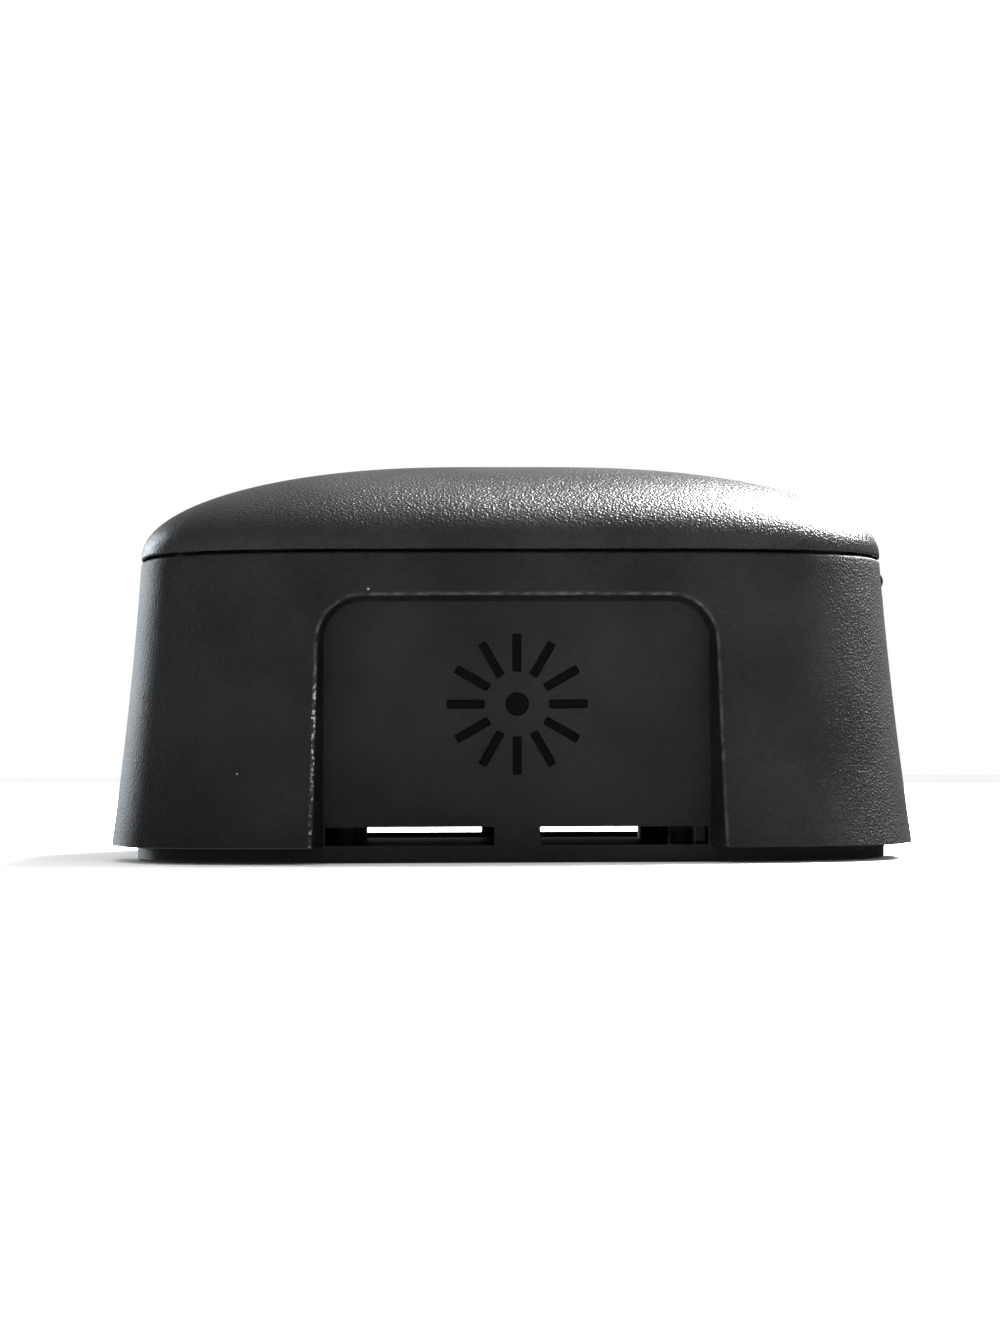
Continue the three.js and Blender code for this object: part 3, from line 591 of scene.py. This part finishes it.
# ---- Hinge pin
# A zinc-plated steel rod, 2.8 mm thick, pushed through the seven knuckles at assembly. Its ends are
# chamfered and sit 1 mm inside the end knuckles.
PIN_RADIUS = 1.4 * MM
PIN_LENGTH = HINGE_LENGTH - 2 * MM
PIN_CHAMFER = 0.35 * MM
ZINC_DARK = (0.42, 0.43, 0.45, 1)
ZINC_PALE = (0.66, 0.67, 0.68, 1)
pin = bar_piece("hinge_pin_rod", (HINGE_X, 0, HINGE_Z), PIN_RADIUS, PIN_LENGTH, "Y", PIN_CHAMFER)
smoothed(pin, 30)
zinc = Finish("zinc_steel")
grind = zinc.place.noise(900, 3.0)
cloud = zinc.place.noise(140, 3.0)
(cloud * 0.6 + grind * 0.4).step(0.3, 0.7).mix(ZINC_DARK, ZINC_PALE).feed(zinc.shader, "Base Color")
(0.24 + grind * 0.22).feed(zinc.shader, "Roughness")
zinc.relief(grind, 0.01 * MM)
zinc.constant(metallic=1.0)
zinc.cover(pin)
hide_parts("hinge_pin")
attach(pin, "station")


# ---- Lid
# The domed lid is one moulding with a coarse leather grain. Under it are a rib that fits inside the
# shell's rim, three hinge knuckles on arms, and a round pocket that the lock is sunk in.
TOP_HALF_WIDTH = 111.8 * MM
TOP_HALF_DEPTH = 81.8 * MM
LID_BOTTOM = 89 * MM
DOME_BOTTOM = 90 * MM
CROWN = 120.5 * MM
LID_WALL = 2.5 * MM
LID_EDGE_ROUND = 0.6 * MM
LID_COLUMNS = 192
DOME_ROWS = 40
SPACE_COLUMNS = 96
SPACE_ROWS = 20
LOCK_X = -90.3 * MM
POCKET_RADIUS = 9 * MM
POCKET_FLOOR = 99 * MM
POCKET_WALL = 2 * MM
POCKET_LIP_ROUND = 0.6 * MM
CUP_MIDDLE = 104 * MM
CUP_LENGTH = 15 * MM
POCKET_CUT = 30 * MM
BARREL_CUT = 20 * MM
BARREL_HOLE = 6 * MM
LID_RIB_INSET = 8.6 * MM
LID_RIB_WALL = 2 * MM
LID_RIB_END = 41.8 * MM
LID_RIB_COLUMNS = 120
LID_RIB_ROWS = 4
RIB_BOTTOM = 85.7 * MM
SPACE_BOTTOM = 80 * MM
LID_WEB_TOP = 91.4 * MM
BRIDGE_ACROSS = (104.8 * MM, 110 * MM)
BRIDGE_LEVELS = (89.1 * MM, 91.9 * MM)
LID_DARK = (0.0052, 0.0051, 0.0055, 1)
LID_PALE = (0.011, 0.011, 0.012, 1)
LID_GRAIN_SCALE = 1500
LID_GRAIN_DEPTH = 0.21 * MM
LID_ROUGHNESS = 0.31


def dome_height(share):
    """Height of the dome's outer face, where share goes from the crown (0) to the edge (1)."""
    return DOME_BOTTOM + (CROWN - DOME_BOTTOM) * math.sqrt(max(0, 1 - share * share))


def lid_point(column, row):
    """A point of the lid's outer face, from its rounded lower edge up to the crown."""
    turn = 2 * math.pi * column / LID_COLUMNS
    if row < ROUND_ROWS:
        bend = math.radians(90) * row / ROUND_ROWS
        inset = LID_EDGE_ROUND * (1 - math.sin(bend))
        z = LID_BOTTOM + LID_EDGE_ROUND * (1 - math.cos(bend))
        share = 1.0
    else:
        rise = math.radians(90) * (row - ROUND_ROWS) / DOME_ROWS
        share = math.cos(rise) if row < ROUND_ROWS + DOME_ROWS else 0.0
        inset = 0.0
        z = DOME_BOTTOM + (CROWN - DOME_BOTTOM) * math.sin(rise)
    x, y = plan(share * (TOP_HALF_WIDTH - inset), share * (TOP_HALF_DEPTH - inset), turn)
    return Vector((x, y, z))


def inside_dome(inset, bottom):
    """A closed solid of the space under the dome, to trim what is joined to it."""
    def place(column, row):
        turn = 2 * math.pi * column / SPACE_COLUMNS
        share = 1.0 if row < 2 else math.cos(math.radians(90) * (row - 1) / SPACE_ROWS)
        share = 0.0 if row in (0, SPACE_ROWS + 1) else share
        x, y = plan(share * (TOP_HALF_WIDTH - inset), share * (TOP_HALF_DEPTH - inset), turn)
        z = bottom if row < 2 else dome_height(share) - inset
        return Vector((x, y, z))

    return merged(patch("dome_space", SPACE_COLUMNS, SPACE_ROWS + 1, place))


def rib_point(column, row):
    """The rib goes round the lid's left, from the front to the back, and up into the dome's wall."""
    wide, deep = TOP_HALF_WIDTH - LID_RIB_INSET, TOP_HALF_DEPTH - LID_RIB_INSET
    start = math.acos((LID_RIB_END / wide) ** (CORNER_POWER / 2))
    turn = start + (2 * math.pi - 2 * start) * column / LID_RIB_COLUMNS
    x, y = plan(wide, deep, turn)
    along_x = (abs(x) / TOP_HALF_WIDTH) ** CORNER_POWER
    along_y = (abs(y) / TOP_HALF_DEPTH) ** CORNER_POWER
    share = (along_x + along_y) ** (1 / CORNER_POWER)
    top = dome_height(share) - LID_WALL * 0.8
    return Vector((x, y, RIB_BOTTOM + (top - RIB_BOTTOM) * row / LID_RIB_ROWS))


lid = merged(patch("lid_moulding", LID_COLUMNS, ROUND_ROWS + DOME_ROWS, lid_point))
apply_modifier(lid, "SOLIDIFY", thickness=LID_WALL, offset=-1, use_even_offset=True)
cup = bar_piece("cup", (LOCK_X, 0, CUP_MIDDLE), POCKET_RADIUS + POCKET_WALL, CUP_LENGTH, steps=64)
trimmed(cup, inside_dome(LID_WALL / 2, SPACE_BOTTOM), "INTERSECT")
trimmed(lid, cup, "UNION")
pocket_middle = (LOCK_X, 0, POCKET_FLOOR + POCKET_CUT / 2)
pocket = bar_piece("pocket", pocket_middle, POCKET_RADIUS, POCKET_CUT, steps=64)
trimmed(lid, pocket, "DIFFERENCE")
barrel_hole = bar_piece("hole", (LOCK_X, 0, POCKET_FLOOR), BARREL_HOLE, BARREL_CUT)
trimmed(lid, barrel_hole, "DIFFERENCE")


def soften_edges(piece, wanted, width, segments):
    """Bevels the sharp edges whose two ends both pass a test."""
    bpy.ops.object.select_all(action="DESELECT")
    piece.select_set(True)
    bpy.context.view_layer.objects.active = piece
    bpy.ops.object.mode_set(mode="EDIT")
    bpy.ops.mesh.select_mode(type="EDGE")
    bpy.ops.mesh.select_all(action="DESELECT")
    bpy.ops.mesh.edges_select_sharp(sharpness=math.radians(SHARP))
    bpy.ops.object.mode_set(mode="OBJECT")
    mesh = piece.data
    for edge in mesh.edges:
        if edge.select and not all(wanted(mesh.vertices[i].co) for i in edge.vertices):
            edge.select = False
    bpy.ops.object.mode_set(mode="EDIT")
    bpy.ops.mesh.bevel(offset=width, segments=segments, affect="EDGES", clamp_overlap=True)
    bpy.ops.object.mode_set(mode="OBJECT")
    return piece


def on_pocket_lip(point):
    """Tells whether a point is where the pocket meets the dome."""
    away = math.hypot(point.x - LOCK_X, point.y)
    return abs(away - POCKET_RADIUS) < 0.1 * MM and point.z > POCKET_FLOOR + 2 * MM


soften_edges(lid, on_pocket_lip, POCKET_LIP_ROUND, 3)
rib = merged(patch("lid_rib", LID_RIB_COLUMNS, LID_RIB_ROWS, rib_point))
apply_modifier(rib, "SOLIDIFY", thickness=LID_RIB_WALL, offset=-1, use_even_offset=True)
lid_fittings = [rib]
for span in knuckle_spans(1):
    lid_fittings.append(knuckle(span, HINGE_Z, LID_WEB_TOP, (HINGE_X - KNUCKLE_RADIUS, HINGE_X)))
bridge_half = HINGE_LENGTH / 2 - HINGE_LENGTH / KNUCKLE_COUNT
bridge_low = (BRIDGE_ACROSS[0], -bridge_half, BRIDGE_LEVELS[0])
bridge_high = (BRIDGE_ACROSS[1], bridge_half, BRIDGE_LEVELS[1])
lid_fittings.append(box_piece("bridge", bridge_low, bridge_high, 0.3 * MM))
lid = smoothed(joined("lid_moulding", [lid] + lid_fittings), SHARP)
lid_finish, lid_colour = moulded(
    "lid_plastic", LID_DARK, LID_PALE, LID_GRAIN_SCALE, LID_GRAIN_DEPTH, LID_ROUGHNESS
)
lid_dust = specks(lid_finish.place, 150, 0.06, 0.04)
(lid_dust * 0.55).mix(lid_colour, DUST_AND_HIGHLIGHT_GREY).feed(lid_finish.shader, "Base Color")
lid_finish.constant(specular_ior_level=0.36)
lid_finish.cover(lid)
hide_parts("lid")
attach(lid, "lid")


# ---- Base
# A shallow dish with a low curb, open at the two entrances. A panel stands at the front and at the back
# to close the recess, with two strap slots at its foot, and the front one has a pressed rosette.
BASE_HALF_WIDTH = 113 * MM
DISH_COLUMNS = 192
BASE_FLOOR = 3 * MM
CURB_TOP = 12 * MM
CURB_WALL = 2.2 * MM
PANEL_BACK = 73 * MM
PANEL_HALF_WIDTH = 66.9 * MM
PANEL_TOP = 79.4 * MM
PANEL_CORNER = 16.5 * MM
PANEL_FOOT = 0.7 * MM
PANEL_PROUD = 0.01 * MM
THRESHOLD_HALF = ENTRANCE_ARCH[0]
THRESHOLD_REACH = 130 * MM
THRESHOLD_TOP = 20 * MM
SLOT_INNER = 6.55 * MM
SLOT_OUTER = 54.7 * MM
SLOT_LOW = 4.8 * MM
SLOT_HIGH = 10 * MM
SLOT_CUT = 3 * MM
SLOT_ROUND = 0.3 * MM
ROSETTE_Z = 45 * MM
ROSETTE_RADIUS = 20.2 * MM
RAY_COUNT = 12
RAY_LENGTH = 11 * MM
RAY_WIDTH = 2.6 * MM
RAY_DEPTH = 0.8 * MM
GROOVE_ROUND = 0.45 * MM
DIMPLE_RADIUS = 3.4 * MM
CUT_DEPTH = 4 * MM
ANCHOR_X = 87.25 * MM
ANCHOR_RADIUS = 3 * MM
ANCHOR_CUT = 12 * MM
PAD_RADIUS = 6.4 * MM
PAD_MIDDLE = 4.8 * MM
PAD_HEIGHT = 6 * MM
PAD_BORE_MIDDLE = 4 * MM
PAD_BORE_CUT = 14 * MM
PAD_ROUND = 0.5 * MM
HEAD_RADIUS = 4.3 * MM
HEAD_MIDDLE = 0.95 * MM
HEAD_CUT = 5.5 * MM
POST_AT = (49.4 * MM, 53 * MM, 7.25 * MM)
POST_RADIUS = 4 * MM
POST_HEIGHT = 9.5 * MM
BAFFLE_X = 61.5 * MM
BAFFLE_SLOT_HALF = 1.4 * MM
GUIDE_WIDTH = 2 * MM
GUIDE_REACH = 4 * MM
GUIDE_SINK = 1 * MM
GUIDE_LEVELS = (1.5 * MM, 62.9 * MM)
DISH_PROFILE = (
    (None, 0), (0.4 * MM, 0), (0, 0.4 * MM), (0, CURB_TOP - 0.5 * MM), (0.5 * MM, CURB_TOP),
    (CURB_WALL - 0.5 * MM, CURB_TOP), (CURB_WALL, CURB_TOP - 0.5 * MM),
    (CURB_WALL, BASE_FLOOR + 1 * MM), (CURB_WALL + 1 * MM, BASE_FLOOR), (None, BASE_FLOOR),
)


def dish_point(column, row):
    """A point of the dish. Its profile runs from the middle below, round the curb, to the middle."""
    inset, z = DISH_PROFILE[row]
    if inset is None:
        return Vector((0, 0, z))
    x, y = plan(BASE_HALF_WIDTH - inset, PANEL_FACE - inset, 2 * math.pi * column / DISH_COLUMNS)
    return Vector((x, y, z))


def beside(low, high, sign):
    """A span, mirrored to the other side when sign is -1."""
    return sorted((sign * low, sign * high))


def round_corners(piece, radius, high):
    """Rounds the upright piece's two top corners, seen from the front."""
    bpy.ops.object.select_all(action="DESELECT")
    piece.select_set(True)
    bpy.context.view_layer.objects.active = piece
    bpy.ops.object.mode_set(mode="EDIT")
    bpy.ops.mesh.select_all(action="DESELECT")
    bpy.ops.object.mode_set(mode="OBJECT")
    mesh = piece.data
    for edge in mesh.edges:
        a, b = (mesh.vertices[i].co for i in edge.vertices)
        edge.select = min(a.z, b.z) > high - 0.01 * MM and abs(a.x - b.x) < 0.01 * MM
    bpy.ops.object.mode_set(mode="EDIT")
    bpy.ops.mesh.select_mode(type="EDGE")
    bpy.ops.mesh.bevel(offset=radius, segments=12, affect="EDGES")
    bpy.ops.object.mode_set(mode="OBJECT")
    return piece


def ray(turn):
    """A bar that cuts one groove of the rosette, turned about the rosette's middle."""
    deep = PANEL_FACE - RAY_DEPTH
    low = (ROSETTE_RADIUS - RAY_LENGTH, -deep - CUT_DEPTH, -RAY_WIDTH / 2)
    made = box_piece("ray", low, (ROSETTE_RADIUS, -deep, RAY_WIDTH / 2), GROOVE_ROUND)
    made.rotation_euler = (0, turn, 0)
    made.location = (0, 0, ROSETTE_Z)
    bpy.ops.object.transform_apply(location=True, rotation=True, scale=True)
    return made


base = merged(patch("base_moulding", DISH_COLUMNS, len(DISH_PROFILE) - 1, dish_point))
threshold_low = (-THRESHOLD_REACH, -THRESHOLD_HALF, BASE_FLOOR + SLIGHT)
threshold_high = (THRESHOLD_REACH, THRESHOLD_HALF, THRESHOLD_TOP)
trimmed(base, box_piece("threshold", threshold_low, threshold_high), "DIFFERENCE")
cutters = []
for sign in (1, -1):
    y0, y1 = beside(PANEL_BACK, PANEL_FACE + PANEL_PROUD, sign)
    panel_low = (-PANEL_HALF_WIDTH, y0, PANEL_FOOT)
    panel = box_piece("panel", panel_low, (PANEL_HALF_WIDTH, y1, PANEL_TOP))
    trimmed(base, round_corners(panel, PANEL_CORNER, PANEL_TOP), "UNION")
    for side_x in (1, -1):
        x0, x1 = beside(SLOT_INNER, SLOT_OUTER, side_x)
        slot_low = (x0, y0 - SLOT_CUT, SLOT_LOW)
        cutters.append(box_piece("slot", slot_low, (x1, y1 + SLOT_CUT, SLOT_HIGH), SLOT_ROUND))
for i in range(RAY_COUNT):
    cutters.append(ray(2 * math.pi * i / RAY_COUNT))
dimple_middle = (0, -PANEL_FACE - CUT_DEPTH / 2 + RAY_DEPTH, ROSETTE_Z)
cutters.append(bar_piece("dimple", dimple_middle, DIMPLE_RADIUS, CUT_DEPTH, "Y", FITTING_ROUND))
for side_x in (1, -1):
    cutters.append(bar_piece("anchor", (side_x * ANCHOR_X, 0, BASE_FLOOR), ANCHOR_RADIUS, ANCHOR_CUT))
trimmed(base, joined("cutters", cutters), "DIFFERENCE")


def on_panel_face(point):
    """Tells whether a point is on the front panel's face, where the slots and the rosette are."""
    on_face = abs(point.y + PANEL_FACE) < 2 * PANEL_PROUD
    return on_face and point.z > SLOT_LOW - MM and abs(point.x) < SLOT_OUTER + MM


soften_edges(base, on_panel_face, 0.22 * MM, 2)
base_fittings = []
for side_x in (1, -1):
    for side_y in (1, -1):
        x, y = side_x * BOSS_AT[0], side_y * BOSS_AT[1]
        pad = bar_piece("pad", (x, y, PAD_MIDDLE), PAD_RADIUS, PAD_HEIGHT, bevel=PAD_ROUND)
        bore = bar_piece("bore", (x, y, PAD_BORE_MIDDLE), BOSS_BORE, PAD_BORE_CUT)
        trimmed(pad, bore, "DIFFERENCE")
        base_fittings.append(pad)
        post_at = (side_x * POST_AT[0], side_y * POST_AT[1], POST_AT[2])
        post = bar_piece("tray_post", post_at, POST_RADIUS, POST_HEIGHT, bevel=PAD_ROUND)
        base_fittings.append(post)
        for edge in (1, -1):
            near = BAFFLE_X + edge * BAFFLE_SLOT_HALF
            x0, x1 = beside(near, near + edge * GUIDE_WIDTH, side_x)
            y0, y1 = beside(PANEL_BACK - GUIDE_REACH, PANEL_BACK + GUIDE_SINK, side_y)
            guide_low, guide_high = (x0, y0, GUIDE_LEVELS[0]), (x1, y1, GUIDE_LEVELS[1])
            base_fittings.append(box_piece("guide", guide_low, guide_high, 0.3 * MM))
        head_bore = bar_piece("head_bore", (x, y, HEAD_MIDDLE), HEAD_RADIUS, HEAD_CUT)
        trimmed(base, head_bore, "DIFFERENCE")
base = smoothed(joined("base_moulding", [base] + base_fittings), SHARP)
apply_modifier(base, "WEIGHTED_NORMAL", keep_sharp=True)
BASE_DARK = (0.0042, 0.0042, 0.0047, 1)
BASE_PALE = (0.0085, 0.0085, 0.0094, 1)
BASE_GRAIN_SCALE = 2200
BASE_GRAIN_DEPTH = 0.11 * MM
BASE_ROUGHNESS = 0.44
base_finish, base_colour = moulded(
    "base_plastic", BASE_DARK, BASE_PALE, BASE_GRAIN_SCALE, BASE_GRAIN_DEPTH, BASE_ROUGHNESS
)
base_dust = specks(base_finish.place, 260, 0.08, 0.03)
(base_dust * 0.35).mix(base_colour, DUST_AND_HIGHLIGHT_GREY).feed(base_finish.shader, "Base Color")
base_finish.constant(specular_ior_level=0.26)
# The rosette's grooves and dimple are smooth, with a near-black colour and little gloss: painted shade in
# the grooves, so they look darker than the grained face.
at = base_finish.place
up_z = at.axis("Z") - ROSETTE_Z
from_middle = (at.axis("X") * at.axis("X") + up_z * up_z).maths("SQRT")
below_face = at.axis("Y") + PANEL_FACE
sunk = below_face.step(0.2 * MM, 0.5 * MM) * (1 - below_face.step(0.9 * MM, 1.2 * MM))
sunk = sunk * (1 - from_middle.step(ROSETTE_RADIUS, ROSETTE_RADIUS + 0.2 * MM))
# The near-black colour and weak gloss in the grooves are painted shade.
GROOVE_SHADE_BLACK = (0.001, 0.001, 0.0012, 1)
smooth = {"Base Color": GROOVE_SHADE_BLACK, "Roughness": 0.36, "Specular IOR Level": 0.12}
shaded_groove_plastic = at.node("ShaderNodeBsdfPrincipled", {}, smooth)
grained_plastic = Shade(at.tree, base_finish.shader.outputs[0])
both_plastics = sunk.node("ShaderNodeMixShader", {}, {0: sunk, 1: grained_plastic, 2: shaded_groove_plastic})
both_plastics.feed(at.tree.nodes["Material Output"], "Surface")
base_finish.cover(base)
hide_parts("base")
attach(base, "station")


# ---- Baffles and bait tray
# Flat polypropylene walls that slide in the guides, each with its doorway at the opposite end, and the
# tray that lifts out. All have the same satin finish and lightly rounded edges.
def detailed(node_name, piece_name, bevel):
    """A piece worked up from a frame node: its flats are cleaned and its edges are rounded."""
    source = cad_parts[node_name]
    made = source.copy()
    made.data = source.data.copy()
    made.name = piece_name
    made.data.name = piece_name
    made.parent = None
    bpy.context.collection.objects.link(made)
    bpy.ops.object.select_all(action="DESELECT")
    made.select_set(True)
    bpy.context.view_layer.objects.active = made
    bpy.ops.object.mode_set(mode="EDIT")
    bpy.ops.mesh.select_all(action="SELECT")
    bpy.ops.mesh.remove_doubles(threshold=0.01 * MM)
    bpy.ops.mesh.dissolve_limited(angle_limit=math.radians(2))
    bpy.ops.object.mode_set(mode="OBJECT")
    limit = {"limit_method": "ANGLE", "angle_limit": math.radians(50)}
    apply_modifier(made, "BEVEL", width=bevel, segments=2, use_clamp_overlap=True, **limit)
    return smoothed(made, 40)


INSERT_DARK = (0.022, 0.022, 0.024, 1)
INSERT_PALE = (0.036, 0.036, 0.039, 1)
INSERT_GRAIN_SCALE = 2100
INSERT_GRAIN_DEPTH = 0.03 * MM
INSERT_ROUGHNESS = 0.48
INSERT_ROUND = 0.5 * MM
insert_finish, insert_colour = moulded(
    "insert_plastic", INSERT_DARK, INSERT_PALE, INSERT_GRAIN_SCALE, INSERT_GRAIN_DEPTH, INSERT_ROUGHNESS
)
insert_colour.feed(insert_finish.shader, "Base Color")
for node_name, piece_name, body in (
    ("left_baffle", "baffle_left_wall", "station"),
    ("right_baffle", "baffle_right_wall", "station"),
    ("bait_tray", "tray_moulding", "tray"),
):
    insert = detailed(node_name, piece_name, INSERT_ROUND)
    insert_finish.cover(insert)
    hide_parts(node_name)
    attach(insert, body)


# ---- Bait rods and blocks
# Two zinc-plated rods rest in the tray's notches, and each carries two pressed wax blocks. A block is
# extruded with eight ridges and has a coarse grain of crushed cereal in blue-green wax.
ROD_X = 24 * MM
ROD_Z = 42.3 * MM
ROD_RADIUS = 2.4 * MM
ROD_LENGTH = 128 * MM
ROD_CHAMFER = 0.7 * MM
WAX_ROUND = 0.6 * MM
WAX_DARK = (0.012, 0.07, 0.105, 1)
WAX_PALE = (0.03, 0.165, 0.22, 1)
CEREAL = (0.22, 0.26, 0.21, 1)
wax = Finish("bait_wax")
crumbs = wax.place.cells(520, "F1", "Color").axis("X")
flecks = crumbs.step(0.9, 0.93)
wax_tone = (wax.place.noise(260, 4.0) * 0.6 + crumbs * 0.4).step(0.25, 0.75).mix(WAX_DARK, WAX_PALE)
(flecks * 0.7).mix(wax_tone, CEREAL).feed(wax.shader, "Base Color")
(0.62 + crumbs * 0.2).feed(wax.shader, "Roughness")
wax.relief(wax.place.cells(520) * 0.8 + wax.place.noise(900, 3.0) * 0.5, 0.35 * MM)
for place, sign in (("left", -1), ("right", 1)):
    rod_name = "bait_rod_" + place + "_bar"
    rod = bar_piece(rod_name, (sign * ROD_X, 0, ROD_Z), ROD_RADIUS, ROD_LENGTH, "Y", ROD_CHAMFER)
    smoothed(rod, 30)
    zinc.cover(rod)
    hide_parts("bait_rod_" + place)
    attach(rod, "rod_" + place)
    for end in ("front", "back"):
        node_name = "bait_block_" + end + "_" + place
        wax_block = detailed(node_name, node_name + "_pressed", WAX_ROUND)
        wax.cover(wax_block)
        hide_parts(node_name)
        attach(wax_block, "rod_" + place)


# ---- Lock
# A turned brass cam lock: its housing is clamped through the pocket by a six-sided nut, and the plug
# carries a steel cam on a screw. The brass has fine turning marks round its axis.
BRASS_DARK = (0.40, 0.28, 0.10, 1)
BRASS_PALE = (0.66, 0.50, 0.23, 1)
brass = Finish("turned_brass")
to_axis = {0: brass.place, 1: (-LOCK_X, 0, 0)}
from_axis = brass.place.node("ShaderNodeVectorMath", {"operation": "ADD"}, to_axis)
across_x, across_y = from_axis.axis("X"), from_axis.axis("Y")
radius = (across_x * across_x + across_y * across_y).maths("SQRT")
turning = (radius * 9000).maths("SINE") * 0.5 + 0.5
tarnish = brass.place.noise(300, 4.0)
tarnish.step(0.3, 0.7).mix(BRASS_DARK, BRASS_PALE).feed(brass.shader, "Base Color")
(0.28 + turning * 0.12 + tarnish * 0.1).feed(brass.shader, "Roughness")
brass.relief(turning, 0.008 * MM)
brass.constant(metallic=1.0)
for node_name, piece_name, body, finish, slot_name, bevel in (
    ("lock_housing", "lock_barrel", "lid", brass, "brass", 0.35 * MM),
    ("lock_nut", "lock_hex_nut", "lid", brass, "brass", 0.35 * MM),
    ("lock_plug", "lock_keyed_plug", "lock", brass, "brass", 0.18 * MM),
    ("lock_cam", "lock_cam_plate", "lock", zinc, "steel", 0.3 * MM),
    ("lock_cam_screw", "cam_screw", "lock", zinc, "steel", 0.2 * MM),
):
    lock_piece = detailed(node_name, piece_name, bevel)
    finish.cover(lock_piece)
    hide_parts(node_name)
    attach(lock_piece, body)


# ---- Base screws
# Four zinc-plated screws, driven from below through the pads into the shell's bosses. Each has a flat
# head with a crossed drive and a plain shank with a pointed end.
SCREW_ROUND = 0.25 * MM
for end in ("front", "back"):
    for hand in ("left", "right"):
        node_name = "base_screw_" + end + "_" + hand
        screw = detailed(node_name, node_name + "_zinc", SCREW_ROUND)
        zinc.cover(screw)
        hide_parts(node_name)
        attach(screw, "station")


# ---- Room, lights and camera
# A plain pale floor under soft studio light: a broad lamp behind and above that rakes the lid's right,
# a strip lamp at the left, and a soft front fill. The camera stands low, a little left of the middle.
FLOOR_SIZE = 14
FLOOR_LEVEL = -0.2 * MM
SKY_IN_GLOSS = 0.25
DARK_SIDE_IN_GLOSS = 0.05
bpy.ops.object.select_all(action="DESELECT")
bpy.ops.mesh.primitive_plane_add(size=FLOOR_SIZE, location=(0, 0, FLOOR_LEVEL))
floor = bpy.context.object
floor.name = "studio_floor"
floor_finish = bpy.data.materials.new("studio_floor")
floor_finish.use_nodes = True
floor_shader = floor_finish.node_tree.nodes["Principled BSDF"]
floor_shader.inputs["Base Color"].default_value = (1, 1, 1, 1)
floor_shader.inputs["Roughness"].default_value = 0.9
floor.data.materials.append(floor_finish)
floor.visible_glossy = False

# The walls of the room are dim in the gloss of the plastic, and dark low on the right.
world = bpy.data.worlds.new("studio")
world.use_nodes = True
sky = world.node_tree.nodes["Background"]
sky.inputs["Color"].default_value = (1, 1, 1, 1)
gloss_ray = Shade(world.node_tree).node("ShaderNodeLightPath", {}, {}, "Is Glossy Ray")
toward = gloss_ray.node("ShaderNodeTexCoord", {}, {}, "Generated")
dark_side = toward.axis("X").step(-0.1, 0.45) * (1 - toward.axis("Z").step(0.25, 0.6))
sky_gloss = SKY_IN_GLOSS - dark_side * (SKY_IN_GLOSS - DARK_SIDE_IN_GLOSS)
(1.0 - gloss_ray * (1.0 - sky_gloss)).feed(sky, "Strength")
bpy.context.scene.world = world
bpy.context.scene.view_settings.view_transform = "Standard"


def soft_lamp(name, at, aim, size, watts):
    """A rectangular lamp that faces the point aim."""
    bpy.ops.object.light_add(type="AREA", location=at)
    lamp = bpy.context.object
    lamp.name = name
    lamp.data.shape = "RECTANGLE"
    lamp.data.size, lamp.data.size_y = size
    lamp.data.energy = watts
    lamp.rotation_euler = (Vector(aim) - Vector(at)).to_track_quat("-Z", "Y").to_euler()
    return lamp


soft_lamp("rake_lamp", (0.92, 0.66, 1.36), (0.07, 0, 0.1), (0.9, 0.9), 330)
left_strip = soft_lamp("left_strip", (-1.05, 1.3, 0.35), (-0.11, 0, 0.05), (0.4, 0.8), 11)
left_strip.data.color = (0.84, 0.93, 1.0)
soft_lamp("front_fill", (0.9, -1.4, 0.6), (0.05, -0.09, 0.05), (0.8, 0.8), 2)

CAMERA_AT = (-27.6 * MM, -789.5 * MM, 26.8 * MM)
CAMERA_TILT = math.radians(2.32)
CAMERA_TURN = math.radians(-1.82)
CAMERA_ROLL = math.radians(0.2)
LENS = 67.6
SENSOR = 36
bpy.ops.object.camera_add(location=CAMERA_AT)
camera = bpy.context.object
camera.name = "studio_camera"
camera.rotation_euler = (math.radians(90) + CAMERA_TILT, CAMERA_ROLL, CAMERA_TURN)
camera.data.lens = LENS
camera.data.sensor_width = SENSOR
camera.data.clip_start = 0.01
camera.data.clip_end = 50
bpy.context.scene.camera = camera
